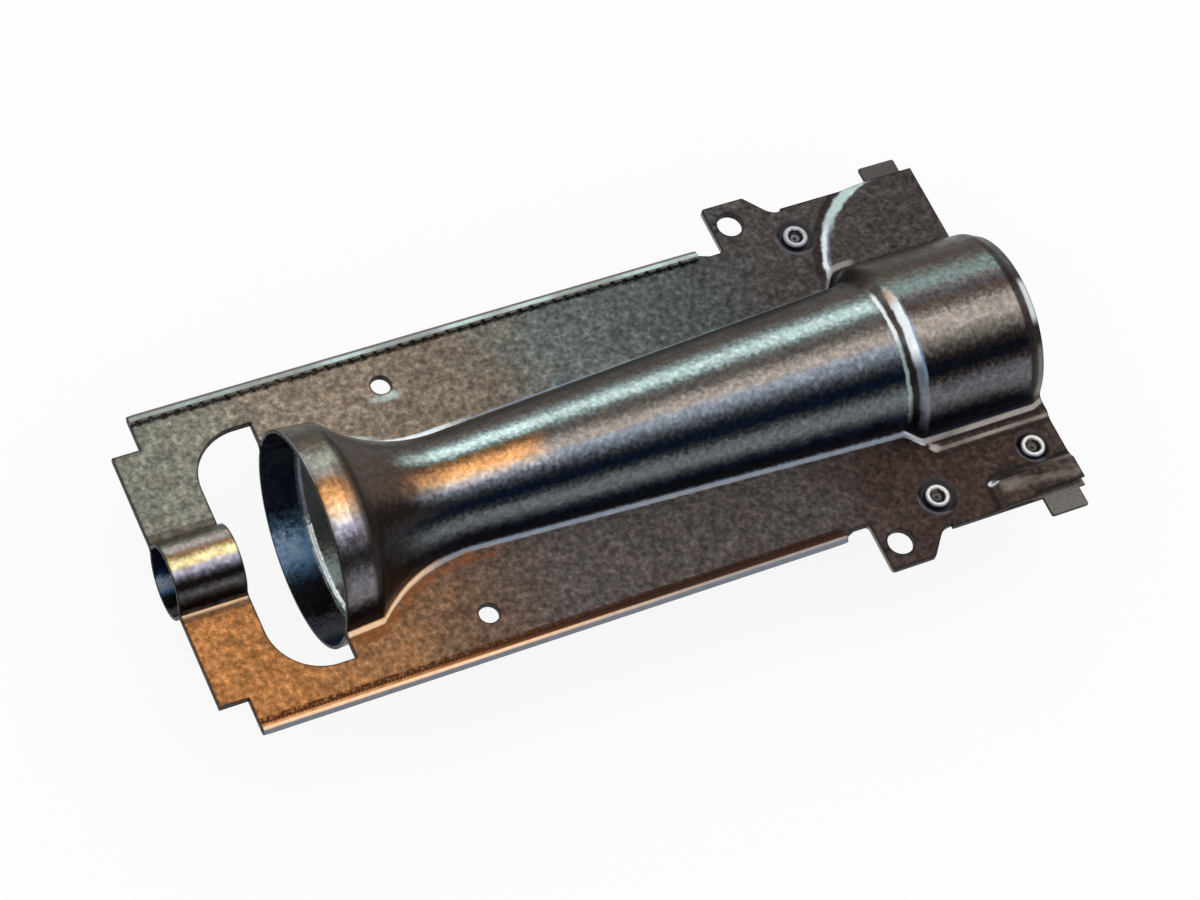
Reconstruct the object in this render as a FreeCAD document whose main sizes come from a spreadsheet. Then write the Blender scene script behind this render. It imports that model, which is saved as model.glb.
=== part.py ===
# Inshot gas furnace burner: two pressed sheet halves that form a venturi tube, three hollow rivets and a
# flame retention insert in the barrel.
# Frame: gas flows along +X, +Z is up, Z = 0 is the plane where the two halves meet, and the origin lies
# on the gas axis at the inlet face of the orifice collar. Millimetres.
import FreeCAD, Part
import math
import os
from types import SimpleNamespace

import Sketcher
from FreeCAD import Placement, Rotation, Vector

# Driving dimensions: name, value, meaning
DIMENSIONS = [
    ("gauge", 0.8, "thickness of the aluminised sheet of both halves"),
    ("bend_radius", 1.4, "inside radius of the bend between flange and tube"),
    ("length", 202.0, "inlet face of the collar to the flame end"),
    ("collar_bore", 7.6, "inside radius of the orifice collar"),
    ("collar_length", 15.3, "length of the orifice collar"),
    ("tongue_length", 6.4, "narrow flange end ahead of the hems"),
    ("tongue_half_width", 31.3, "half width of that flange end"),
    ("air_gap", 15.7, "end of the collar to the bell mouth, length of the primary air opening"),
    ("air_half_width", 30.0, "half width of the primary air opening"),
    ("air_corner", 12.0, "corner radius of the primary air opening"),
    ("mouth_bore", 23.5, "inside radius of the bell mouth"),
    ("band_length", 8.4, "straight band behind the bell mouth"),
    ("band_narrowing", 0.7, "how much the band narrows towards the flare"),
    ("band_corner", 0.8, "bend radius between band and flare, on the bore side"),
    ("flare_angle", 43.0, "steepest angle of the flare, degrees"),
    ("flare_straight", 0.05, "share of the flare's slanted side that stays straight"),
    ("throat_distance", 35.0, "bell mouth to the throat"),
    ("throat_bore", 12.85, "inside radius of the throat"),
    ("diffuser_bore", 18.2, "inside radius at the end of the long taper"),
    ("step_run", 2.8, "length of the step up to the barrel"),
    ("step_foot_radius", 2.6, "bend radius at the foot of the step, on the bore side"),
    ("step_shoulder_radius", 1.0, "bend radius at the shoulder of the step, on the bore side"),
    ("barrel_length", 30.9, "top of the step to the flame end"),
    ("barrel_bore", 21.5, "inside radius of the barrel"),
    ("lip_length", 3.0, "length of the turned-in lip at the flame end"),
    ("lip_drop", 1.2, "how much the lip narrows the barrel"),
    ("lip_radius", 1.7, "bend radius of the lip, on the bore side"),
    ("hem_half_width", 40.0, "axis to the outer face of a hem"),
    ("hem_band", 2.6, "width of the hem's folded strip"),
    ("edge_play", 0.15, "clearance between the upper sheet's edge and the fold"),
    ("notch_length", 6.3, "end of a hem to the ear"),
    ("notch_slope", 2.8, "length of the slope into the notch behind a hem"),
    ("notch_half_width", 37.6, "half width in that notch"),
    ("notch_corner", 0.9, "corner radius between notch and ear"),
    ("ear_length", 18.1, "square side of the mounting ear to the wing"),
    ("ear_top_width", 10.7, "width of the ear's outer edge"),
    ("ear_root_gap", 2.4, "where the ear's slanted side meets the wing's line, ahead of the wing"),
    ("ear_corner", 0.8, "outer corner radius of the ear"),
    ("ear_root_radius", 4.2, "radius where the ear runs into the wing"),
    ("ear_hole_inset", 4.8, "square side of the ear to its hole"),
    ("ear_hole_margin", 5.9, "ear hole to the ear's outer edge"),
    ("ear_hole_inboard", 0.5, "wing's edge line to the ear hole's centre, towards the axis"),
    ("ear_hole_diameter", 6.0, "mounting screw clearance hole"),
    ("pin_hole_place", 61.5, "locating hole along X"),
    ("pin_hole_spacing", 59.6, "distance between the two locating holes"),
    ("pin_hole_diameter", 4.5, "locating hole"),
    ("wing_length", 34.2, "start of the wing to the flame end"),
    ("wing_half_width", 44.4, "half width over the wings, half of the burner pitch"),
    ("wing_step", 0.7, "step between the ear's root and the wing's edge"),
    ("tab_setback", 1.6, "flame end to the interlock tab"),
    ("tab_width", 9.4, "width of an interlock tab"),
    ("tab_reach", 4.8, "how far a tab stands out past the wing"),
    ("tab_corner", 0.5, "corner radius of a tab"),
    ("fan_setback", 4.5, "flame end to the centre of the carry-over form"),
    ("fan_side", 19.3, "axis to the centre of the carry-over form"),
    ("fan_radius", 28.8, "foot radius of the carry-over form"),
    ("fan_rise", 1.5, "height of the carry-over slot"),
    ("fan_run", 3.0, "width of the carry-over form's slope"),
    ("ridge_gap", 0.3, "top of the step to the ridge beside the barrel"),
    ("ridge_width", 4.3, "barrel wall to the foot of the ridge"),
    ("ridge_rise", 0.9, "height of that ridge"),
    ("ridge_run", 1.5, "width of the ridge's slope"),
    ("pocket_length", 21.7, "start of the overlap pocket to the flame end"),
    ("pocket_gap", 0.2, "edge of the front dish to the foot of the overlap pocket"),
    ("pocket_rise", 1.0, "height of the overlap pocket"),
    ("pocket_run", 1.3, "width of the pocket's slope"),
    ("pocket_trim", 1.2, "cut back of the pocket's edge beside the tab"),
    ("pocket_trim_length", 12.8, "length of that cut back edge"),
    ("rear_rivet_setback", 34.2, "flame end to the rear pair of rivets"),
    ("rear_rivet_margin", 8.2, "rear rivet to the wing's edge"),
    ("front_rivet_setback", 7.2, "flame end to the front rivet"),
    ("front_rivet_margin", 12.5, "front rivet to the wing's edge"),
    ("rear_dish_radius", 5.0, "radius of the dish round a rear rivet"),
    ("front_dish_radius", 4.3, "radius of the dish round the front rivet"),
    ("dish_depth", 0.9, "depth of a rivet dish"),
    ("dish_run", 1.3, "width of a dish's slope"),
    ("rivet_shank", 2.1, "outside radius of a rivet's shank"),
    ("rivet_bore", 1.15, "bore radius of a rivet"),
    ("rivet_head", 3.05, "radius of a rivet's rolled head"),
    ("rivet_head_height", 1.2, "height of a rivet's rolled head"),
    ("rivet_fit", 0.05, "clearance of a rivet's shank in its holes"),
    ("insert_play", 0.1, "clearance round the insert"),
    ("insert_gauge", 0.6, "thickness of the insert's band and core"),
    ("insert_length", 14.0, "length of the insert's band"),
    ("core_bore", 11.4, "bore radius of the insert's core"),
    ("core_flare", 0.8, "how much the core's upstream end opens"),
    ("ribbon_gauge", 0.5, "thickness of the corrugated ribbon"),
    ("ribbon_setback", 1.0, "each end of the band to the ribbon"),
    ("ribbon_play", 0.05, "clearance of the ribbon at the band and at the core"),
]
WAVES = 18


class Size:
    """A size that carries its value and the formula that binds it to the sheet."""

    def __init__(self, value, formula):
        self.value = float(value)
        self.formula = formula

    def __add__(self, other):
        other = as_size(other)
        return Size(self.value + other.value, f"({self.formula} + {other.formula})")

    def __sub__(self, other):
        other = as_size(other)
        return Size(self.value - other.value, f"({self.formula} - {other.formula})")

    def __mul__(self, other):
        other = as_size(other)
        return Size(self.value * other.value, f"({self.formula} * {other.formula})")

    def __truediv__(self, other):
        other = as_size(other)
        return Size(self.value / other.value, f"({self.formula} / {other.formula})")

    def __neg__(self):
        return Size(-self.value, f"(-1 * {self.formula})")

    def __radd__(self, other):
        return as_size(other) + self

    def __rsub__(self, other):
        return as_size(other) - self

    def __rmul__(self, other):
        return as_size(other) * self

    def __rtruediv__(self, other):
        return as_size(other) / self


def as_size(number):
    return number if isinstance(number, Size) else Size(number, f"{number:g}")


def root(size):
    return Size(math.sqrt(size.value), f"sqrt({size.formula})")


def tangent(degrees):
    return Size(math.tan(math.radians(degrees.value)), f"tan({degrees.formula})")


def sine(degrees):
    return Size(math.sin(math.radians(degrees.value)), f"sin({degrees.formula})")


def cosine(degrees):
    return Size(math.cos(math.radians(degrees.value)), f"cos({degrees.formula})")


def angle_of(rise, run):
    """Angle in degrees whose tangent is rise over run."""
    slope = rise / run
    return Size(math.degrees(math.atan(slope.value)), f"(atan({slope.formula}) / 1 deg)")


doc = FreeCAD.newDocument("gas_burner")
sheet = doc.addObject("Spreadsheet::Sheet", "sizes")


def fill_row(name, entry, meaning):
    """Writes one named size or formula to the next free row of the sheet."""
    row = len(names) + 1
    names.append(name)
    sheet.set(f"A{row}", name)
    sheet.set(f"B{row}", entry)
    sheet.set(f"C{row}", meaning)
    sheet.setAlias(f"B{row}", name)


def worked_out(name, size, meaning):
    """Puts a worked-out size on the sheet under its own name."""
    fill_row(name, "=" + size.formula.replace("sizes.", ""), meaning)
    return Size(size.value, f"sizes.{name}")


names = []
for name, number, meaning in DIMENSIONS:
    fill_row(name, str(number), meaning)
doc.recompute()
d = SimpleNamespace(**{name: Size(sheet.get(name), f"sizes.{name}") for name, _, _ in DIMENSIONS})

# Places and sizes that several pieces share
mouth_place = worked_out("mouth_place", d.collar_length + d.air_gap, "bell mouth along X")
throat_place = worked_out("throat_place", mouth_place + d.throat_distance, "throat along X")
step_end = worked_out("step_end", d.length - d.barrel_length, "top of the step along X")
diffuser_end = worked_out("diffuser_end", step_end - d.step_run, "end of the long taper along X")
barrel_wall = worked_out("barrel_wall", d.barrel_bore + d.gauge, "outside radius of the barrel")
wing_start = worked_out("wing_start", d.length - d.wing_length, "start of the wings along X")
wing_root = worked_out("wing_root", d.wing_half_width - d.wing_step, "half width just behind the wings")
ear_start = worked_out("ear_start", wing_start - d.ear_length, "square side of the ears along X")
ear_hole_side = worked_out("ear_hole_side", d.wing_half_width - d.ear_hole_inboard, "axis to an ear hole")
ear_reach = worked_out("ear_reach", ear_hole_side + d.ear_hole_margin, "axis to the end of an ear")
hem_end = worked_out("hem_end", ear_start - d.notch_length, "end of the hems along X")
hem_fold = worked_out("hem_fold", d.hem_half_width - d.gauge * 1.5, "axis to the middle of the fold")
tab_end = worked_out("tab_end", d.length - d.tab_setback, "front side of the tabs along X")
tab_start = worked_out("tab_start", tab_end - d.tab_width, "rear side of the tabs along X")
ridge_side = worked_out("ridge_side", barrel_wall + d.ridge_width, "axis to the foot of the ridge")
rear_rivet_place = worked_out("rear_rivet_place", d.length - d.rear_rivet_setback, "rear rivets along X")
rear_rivet_side = worked_out("rear_rivet_side", d.wing_half_width - d.rear_rivet_margin, "axis to a rear rivet")
front_rivet_place = worked_out("front_rivet_place", d.length - d.front_rivet_setback, "front rivet along X")
front_rivet_side = worked_out(
    "front_rivet_side", d.wing_half_width - d.front_rivet_margin, "axis to the front rivet")
pocket_side = worked_out(
    "pocket_side", front_rivet_side + d.front_dish_radius + d.pocket_gap, "axis to the overlap pocket's foot")
insert_front = worked_out("insert_front", d.length - d.lip_length - d.insert_play, "front of the insert along X")
insert_back = worked_out("insert_back", insert_front - d.insert_length, "rear of the insert along X")
SPARE = 20.0
RIVETS = [
    ("rear_far_rivet", rear_rivet_place, rear_rivet_side, d.rear_dish_radius),
    ("rear_near_rivet", rear_rivet_place, -rear_rivet_side, d.rear_dish_radius),
    ("front_near_rivet", front_rivet_place, -front_rivet_side, d.front_dish_radius),
]


def bind(feature, path, size):
    """Ties one property of a feature to its formula."""
    feature.setExpression(path, as_size(size).formula)


def plane(body, role):
    return next(f for f in body.Origin.OriginFeatures if f.Role == role)


def new_sketch(body, name, role, offset=None):
    sketch = body.newObject("Sketcher::SketchObject", name)
    sketch.AttachmentSupport = [(plane(body, role), "")]
    sketch.MapMode = "FlatFace"
    if offset is not None:
        sketch.AttachmentOffset = Placement(Vector(0, 0, offset.value), Rotation())
        bind(sketch, "AttachmentOffset.Base.z", offset)
    return sketch


def fix(sketch, kind, size, *where):
    """Adds a dimension to a sketch and ties it to its formula."""
    index = sketch.addConstraint(Sketcher.Constraint(kind, *where, size.value))
    sketch.setExpression(f"Constraints[{index}]", size.formula)


def fix_point(sketch, geometry, end, x, y):
    """Holds a point of a sketch at x and y from the sketch's origin."""
    for kind, size, axis in (("DistanceX", as_size(x), -2), ("DistanceY", as_size(y), -1)):
        if size.value == 0:
            sketch.addConstraint(Sketcher.Constraint("PointOnObject", geometry, end, axis))
        else:
            fix(sketch, kind, size, -1, 1, geometry, end)


def draw_outline(sketch, corners):
    """Draws a closed outline through corners given as (x, y) or (x, y, rounding radius)."""
    count = len(corners)
    spots = [Vector(as_size(c[0]).value, as_size(c[1]).value, 0) for c in corners]
    starts, ends, arcs = {}, {}, {}
    for i, corner in enumerate(corners):
        starts[i] = ends[i] = spots[i]
        if len(corner) < 3:
            continue
        before = (spots[i - 1] - spots[i]).normalize()
        after = (spots[(i + 1) % count] - spots[i]).normalize()
        half = before.getAngle(after) / 2
        radius = as_size(corner[2]).value
        reach = radius / math.tan(half)
        ends[i] = spots[i] + before * reach
        starts[i] = spots[i] + after * reach
        middle = spots[i] + (before + after).normalize() * (radius / math.sin(half))
        turns_left = before.cross(after).z < 0
        first, last = (ends[i], starts[i]) if turns_left else (starts[i], ends[i])
        angles = [math.atan2(p.y - middle.y, p.x - middle.x) for p in (first, last)]
        if angles[1] < angles[0]:
            angles[1] += 2 * math.pi
        arcs[i] = (Part.ArcOfCircle(Part.Circle(middle, Vector(0, 0, 1), radius), *angles), turns_left)
    lines = [sketch.addGeometry(Part.LineSegment(starts[i], ends[(i + 1) % count]), False) for i in range(count)]
    for i, corner in enumerate(corners):
        came, leaves = lines[i - 1], lines[i]
        if i not in arcs:
            sketch.addConstraint(Sketcher.Constraint("Coincident", came, 2, leaves, 1))
            fix_point(sketch, leaves, 1, corner[0], corner[1])
            continue
        shape, turns_left = arcs[i]
        arc = sketch.addGeometry(shape, False)
        point = sketch.addGeometry(Part.Point(spots[i]), True)
        sketch.addConstraint(Sketcher.Constraint("Tangent", came, 2, arc, 1 if turns_left else 2))
        sketch.addConstraint(Sketcher.Constraint("Tangent", arc, 2 if turns_left else 1, leaves, 1))
        fix(sketch, "Radius", as_size(corner[2]), arc)
        fix_point(sketch, point, 1, corner[0], corner[1])
        sketch.addConstraint(Sketcher.Constraint("PointOnObject", point, 1, came))
        sketch.addConstraint(Sketcher.Constraint("PointOnObject", point, 1, leaves))


def draw_circle(sketch, x, y, radius):
    circle = Part.Circle(Vector(as_size(x).value, as_size(y).value, 0), Vector(0, 0, 1), radius.value)
    index = sketch.addGeometry(circle, False)
    fix(sketch, "Radius", radius, index)
    fix_point(sketch, index, 3, x, y)


def pad(body, sketch, name, height, downward=False, taper=None):
    feature = body.newObject("PartDesign::Pad", name)
    feature.Profile = sketch
    feature.Length = height.value
    feature.Reversed = downward
    bind(feature, "Length", height)
    if taper is not None:
        feature.TaperAngle = -taper.value
        bind(feature, "TaperAngle", -taper)
    return feature


def pocket(body, sketch, name, depth=None, upward=False, taper=None):
    """Cuts a sketch upward to a depth, or right through both ways where no depth is given."""
    feature = body.newObject("PartDesign::Pocket", name)
    feature.Profile = sketch
    if depth is None:
        feature.Type = "ThroughAll"
        feature.Midplane = True
        return feature
    feature.Length = depth.value
    feature.Reversed = upward
    bind(feature, "Length", depth)
    if taper is not None:
        feature.TaperAngle = -taper.value
        bind(feature, "TaperAngle", -taper)
    return feature


def turn(body, kind, sketch, name, angle, axis="H_Axis"):
    """Revolves a sketch about one of its axes, half the angle to each side of its plane."""
    feature = body.newObject(f"PartDesign::{kind}", name)
    feature.Profile = sketch
    feature.ReferenceAxis = (sketch, [axis])
    feature.Angle = angle
    feature.Midplane = angle < 360
    return feature


def cone(body, kind, name, x, y, z, low_radius, high_radius, height):
    """Adds or cuts a cone that stands on height z."""
    feature = body.newObject(f"PartDesign::{kind}Cone", name)
    feature.AttachmentSupport = [(plane(body, "XY_Plane"), "")]
    feature.MapMode = "FlatFace"
    for path, size in (("AttachmentOffset.Base.x", x), ("AttachmentOffset.Base.y", y),
                       ("AttachmentOffset.Base.z", z), ("Radius1", low_radius),
                       ("Radius2", high_radius), ("Height", height)):
        bind(feature, path, size)
    return feature


def fillet(body, name, radius, wanted):
    """Rounds the edges of the body so far that pass the test."""
    doc.recompute()
    base = body.Tip
    edges = [f"Edge{i}" for i, edge in enumerate(base.Shape.Edges, start=1) if wanted(edge)]
    feature = body.newObject("PartDesign::Fillet", name)
    feature.Base = (base, edges)
    bind(feature, "Radius", radius)
    return feature


def throat_corner():
    """Where the flare's line meets the long taper's line, and the radius of the curve between them."""
    widening = (d.diffuser_bore - d.throat_bore) / (diffuser_end - throat_place)
    flare = tangent(d.flare_angle)
    start = mouth_place + d.band_length
    start_bore = d.mouth_bore - d.band_narrowing
    run = (start_bore - d.throat_bore + widening * (throat_place - start)) / (flare + widening)
    turn_angle = d.flare_angle + angle_of(widening, as_size(1))
    radius = (1 - d.flare_straight) * run / cosine(d.flare_angle) / tangent(turn_angle / 2)
    place = worked_out("knee_place", start + run, "where flare and taper would meet, along X")
    bore = worked_out("knee_bore", start_bore - flare * run, "bore radius there")
    return place, bore, worked_out("knee_radius", radius, "radius of the curve there, on the bore side")


# Corners of the bore from the bell mouth to the flame end: place, radius, bend radius
BORE = [
    (mouth_place, d.mouth_bore, as_size(0)),
    (mouth_place + d.band_length, d.mouth_bore - d.band_narrowing, d.band_corner),
    throat_corner(),
    (diffuser_end, d.diffuser_bore, d.step_foot_radius),
    (step_end, d.barrel_bore, d.step_shoulder_radius),
    (d.length - d.lip_length, d.barrel_bore, d.lip_radius),
    (d.length, d.barrel_bore - d.lip_drop, as_size(0)),
]
SLOPES = [
    worked_out(f"slope_{i}", angle_of(b[1] - a[1], b[0] - a[0]), "slope of one stretch of the tube, degrees")
    for i, (a, b) in enumerate(zip(BORE, BORE[1:]), start=1)
]
doc.recompute()


def outer_corners():
    """The bore's corners moved out by the sheet thickness, along the mitre at each bend."""
    corners = [(BORE[0][0], BORE[0][1] + d.gauge)]
    for (x, radius, bend), before, after in zip(BORE[1:-1], SLOPES, SLOPES[1:]):
        shift = d.gauge / cosine((after - before) / 2)
        middle = (before + after) / 2
        outer_bend = bend - d.gauge if after.value > before.value else bend + d.gauge
        corners.append((x - shift * sine(middle), radius + shift * cosine(middle), outer_bend))
    corners.append((BORE[-1][0], BORE[-1][1] + d.gauge))
    return corners


def half_outline(corners, side):
    """Closes corners along the gas axis, above it (side 1) or below it (side -1)."""
    closed = [c if len(c) < 3 or c[2].value else c[:2] for c in corners]
    closed = [(c[0], c[1] * side, *c[2:]) for c in closed]
    return closed + [(corners[-1][0], 0), (corners[0][0], 0)]


def add_tube(body, side):
    """Half of the collar and of the venturi as solid forms."""
    sketch = new_sketch(body, "tube_form", "XZ_Plane")
    draw_outline(sketch, half_outline(outer_corners(), side))
    outside = d.collar_bore + d.gauge
    draw_outline(sketch, half_outline([(as_size(0), outside), (d.collar_length, outside)], side))
    turn(body, "Revolution", sketch, "tube", 180)


def bore_tube(body, side):
    """Hollows the collar and the venturi, and runs out past their ends."""
    overrun = d.air_gap / 4
    sketch = new_sketch(body, "bore_form", "XZ_Plane")
    mouth = (mouth_place - overrun, d.mouth_bore)
    end = (d.length + overrun, d.barrel_bore - d.lip_drop)
    draw_outline(sketch, half_outline([mouth, *BORE, end], side))
    collar = [(-overrun, d.collar_bore), (d.collar_length + overrun, d.collar_bore)]
    draw_outline(sketch, half_outline(collar, side))
    turn(body, "Groove", sketch, "bore", 180)


def blank_outline(hem_edge, tabs):
    """Flange outline: tongue, hem edges, notches, ears, wings and, on the lower half, interlock tabs."""
    far = [
        (0, d.tongue_half_width),
        (d.tongue_length, d.tongue_half_width),
        (d.tongue_length, hem_edge),
        (hem_end, hem_edge),
        (hem_end + d.notch_slope, d.notch_half_width),
        (ear_start, d.notch_half_width, d.notch_corner),
        (ear_start, ear_reach, d.ear_corner),
        (ear_start + d.ear_top_width, ear_reach, d.ear_corner),
        (wing_start - d.ear_root_gap, wing_root, d.ear_root_radius),
        (wing_start, wing_root),
        (wing_start, d.wing_half_width),
    ]
    if tabs:
        tip = d.wing_half_width + d.tab_reach
        far += [
            (tab_start, d.wing_half_width),
            (tab_start, tip, d.tab_corner),
            (tab_end, tip, d.tab_corner),
            (tab_end, d.wing_half_width),
        ]
    far.append((d.length, d.wing_half_width))
    near = [(c[0], -c[1], *c[2:]) for c in reversed(far)]
    return far + near


def box_outline(x_low, x_high, y_low, y_high):
    return [(x_low, y_low), (x_high, y_low), (x_high, y_high), (x_low, y_high)]


def lies_flat(edge, height, half_width):
    """True for an edge at one height, near the axis, that doesn't run straight across it."""
    box = edge.BoundBox
    level = abs(box.ZMin - height) < 0.01 and abs(box.ZMax - height) < 0.01
    return level and max(abs(box.YMin), abs(box.YMax)) < half_width and box.XLength > 0.05


def raise_form(body, name, x_low, y_low, y_high, rise, run):
    """Raised form of the upper sheet, with sloped sides where it doesn't run out over an edge.

    Its foot on the flange starts at x_low and spans y_low to y_high. Returns the outline of its hollow.
    """
    foot = d.gauge * run / rise
    sketch = new_sketch(body, f"{name}_outline", "XY_Plane")
    outline = box_outline(x_low - foot, d.length + SPARE, y_low - foot, y_high + foot)
    draw_outline(sketch, outline)
    pad(body, sketch, name, d.gauge + rise, taper=angle_of(run, rise))
    inset = d.gauge * root(1 + (run / rise) * (run / rise)) - foot
    return box_outline(x_low + inset, d.length + SPARE, y_low + inset, y_high - inset)


def hollow_form(body, name, outline, rise, run):
    sketch = new_sketch(body, f"{name}_outline", "XY_Plane")
    draw_outline(sketch, outline)
    pocket(body, sketch, name, rise, upward=True, taper=angle_of(run, rise))


def dish_under(radius):
    """Radius of a dish's underside in the plane of the sheet's underside."""
    slope = d.dish_run / d.dish_depth
    return radius - d.gauge * slope + d.gauge * root(1 + slope * slope)


def press_dishes(body, top, change):
    """Presses the rivets' dishes down into a sheet whose upper face is at the height top.

    change turns a dish's radius into its radius on that face.
    """
    underside = top - d.gauge
    bulges = new_sketch(body, "dish_bulge_layout", "XY_Plane", underside)
    dishes = new_sketch(body, "dish_layout", "XY_Plane", top)
    for _, x, y, radius in RIVETS:
        draw_circle(bulges, x, y, dish_under(change(radius)))
        draw_circle(dishes, x, y, change(radius))
    slope = angle_of(d.dish_run, d.dish_depth)
    pad(body, bulges, "dish_bulges", d.dish_depth, downward=True, taper=slope)
    pocket(body, dishes, "dishes", d.dish_depth, taper=slope)


def cut_holes(body):
    """Screw, locating and rivet holes."""
    sketch = new_sketch(body, "hole_layout", "XY_Plane")
    for far in (1, -1):
        draw_circle(sketch, ear_start + d.ear_hole_inset, far * ear_hole_side, d.ear_hole_diameter / 2)
        draw_circle(sketch, d.pin_hole_place, far * d.pin_hole_spacing / 2, d.pin_hole_diameter / 2)
    for _, x, y, _ in RIVETS:
        draw_circle(sketch, x, y, d.rivet_shank + d.rivet_fit)
    pocket(body, sketch, "holes")


def make_half(name, side):
    """Flange and half tube of one shell, before its forms, holes and hems."""
    body = doc.addObject("PartDesign::Body", name)
    hem_edge = hem_fold - d.edge_play if side > 0 else hem_fold
    sketch = new_sketch(body, "blank", "XY_Plane")
    draw_outline(sketch, blank_outline(hem_edge, tabs=side < 0))
    pad(body, sketch, "flange", d.gauge, downward=side < 0)
    add_tube(body, side)
    near_tube = d.mouth_bore.value + d.gauge.value + d.bend_radius.value
    top = side * d.gauge.value
    fillet(body, "bend", d.bend_radius, lambda edge: lies_flat(edge, top, near_tube))
    return body


def open_tube(body, side):
    """Hollows the tube, cuts the primary air opening and rounds the bore into the mating plane."""
    bore_tube(body, side)
    sketch = new_sketch(body, "air_outline", "XY_Plane")
    draw_outline(sketch, [
        (d.collar_length, -d.air_half_width, d.air_corner),
        (mouth_place, -d.air_half_width),
        (mouth_place, d.air_half_width),
        (d.collar_length, d.air_half_width, d.air_corner),
    ])
    pocket(body, sketch, "air_opening")
    near_tube = d.mouth_bore.value + d.gauge.value
    fillet(body, "inner_bend", d.bend_radius + d.gauge, lambda edge: lies_flat(edge, 0, near_tube))


def make_upper():
    body = make_half("upper_shell", 1)
    reach = d.fan_run / d.fan_rise
    foot = d.fan_radius + d.gauge * reach
    fan_place = d.length - d.fan_setback
    cone(body, "Additive", "fan", fan_place, d.fan_side, as_size(0), foot, d.fan_radius - d.fan_run,
         d.gauge + d.fan_rise)
    ridge_hollow = raise_form(body, "ridge", step_end + d.ridge_gap, -ridge_side, as_size(0), d.ridge_rise, d.ridge_run)
    pocket_hollow = raise_form(body, "pocket", d.length - d.pocket_length, -(d.wing_half_width + SPARE),
                               -pocket_side, d.pocket_rise, d.pocket_run)
    trim = new_sketch(body, "trim_outline", "XY_Plane")
    side = d.wing_half_width + SPARE * 2
    trimmed = d.length - d.pocket_trim_length
    draw_outline(trim, [
        (d.length, -d.wing_half_width + d.pocket_trim),
        (d.length, d.wing_half_width),
        (wing_start + d.wing_step, d.wing_half_width),
        (wing_start + d.wing_step, side),
        (d.length + SPARE * 2, side),
        (d.length + SPARE * 2, -side),
        (wing_start + d.wing_step, -side),
        (wing_start + d.wing_step, -d.wing_half_width),
        (trimmed, -d.wing_half_width),
        (trimmed, -d.wing_half_width + d.pocket_trim),
    ])
    pocket(body, trim, "trim")
    open_tube(body, 1)
    inset = d.gauge * root(1 + reach * reach)
    cone(body, "Subtractive", "carry_over_slot", fan_place, d.fan_side, as_size(0), foot - inset,
         foot - inset - d.fan_run, d.fan_rise)
    hollow_form(body, "ridge_hollow", ridge_hollow, d.ridge_rise, d.ridge_run)
    hollow_form(body, "pocket_hollow", pocket_hollow, d.pocket_rise, d.pocket_run)
    press_dishes(body, d.gauge, lambda radius: radius)
    cut_holes(body)
    return body


def make_lower():
    body = make_half("lower_shell", -1)
    open_tube(body, -1)
    press_dishes(body, as_size(0), dish_under)
    cut_holes(body)
    for far in (1, -1):
        sketch = new_sketch(body, "hem_profile", "YZ_Plane", d.tongue_length)
        outer = far * d.hem_half_width
        inner = far * (d.hem_half_width - d.gauge)
        draw_outline(sketch, [
            (far * hem_fold, -d.gauge),
            (outer, -d.gauge, d.gauge * 1.4),
            (outer, d.gauge * 2, d.gauge * 1.4),
            (far * (d.hem_half_width - d.hem_band), d.gauge * 2),
            (far * (d.hem_half_width - d.hem_band), d.gauge),
            (inner, d.gauge, d.gauge * 0.4),
            (inner, 0, d.gauge * 0.4),
            (far * hem_fold, 0),
        ])
        pad(body, sketch, "hem", hem_end - d.tongue_length)
    return body


def make_rivet(name, x, y):
    """Hollow rivet with a rolled head in the dish and a rolled tail under it."""
    body = doc.addObject("PartDesign::Body", name)
    seat = d.gauge - d.dish_depth
    tail = -d.gauge - d.dish_depth
    high = seat + d.rivet_head_height
    low = tail - d.rivet_head_height
    roll = d.rivet_head_height * 0.55
    sketch = new_sketch(body, "section", "XZ_Plane")
    draw_outline(sketch, [
        (d.rivet_bore, high, roll),
        (d.rivet_bore, low, roll),
        (d.rivet_head, low, roll),
        (d.rivet_head, tail),
        (d.rivet_shank, tail),
        (d.rivet_shank, seat),
        (d.rivet_head, seat),
        (d.rivet_head, high, roll),
    ])
    turn(body, "Revolution", sketch, "rivet", 360, axis="V_Axis")
    bind(body, "Placement.Base.x", x)
    bind(body, "Placement.Base.y", y)
    return body


def make_ring(name, corners):
    """Ring about the gas axis from its half section."""
    body = doc.addObject("PartDesign::Body", name)
    sketch = new_sketch(body, "section", "XZ_Plane")
    draw_outline(sketch, corners)
    turn(body, "Revolution", sketch, "ring", 360)
    return body


def make_band():
    outside = d.barrel_bore - d.insert_play
    inside = outside - d.insert_gauge
    return make_ring("retention_band", box_outline(insert_back, insert_front, inside, outside))


def make_core():
    """Inner ring whose upstream end opens to lead the gas in."""
    outside = d.core_bore + d.insert_gauge
    back = insert_back + d.ribbon_setback
    front = insert_front - d.ribbon_setback
    return make_ring("retention_core", [
        (insert_back, d.core_bore + d.core_flare),
        (back, d.core_bore),
        (front, d.core_bore),
        (front, outside),
        (back, outside),
        (insert_back, outside + d.core_flare),
    ])


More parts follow.
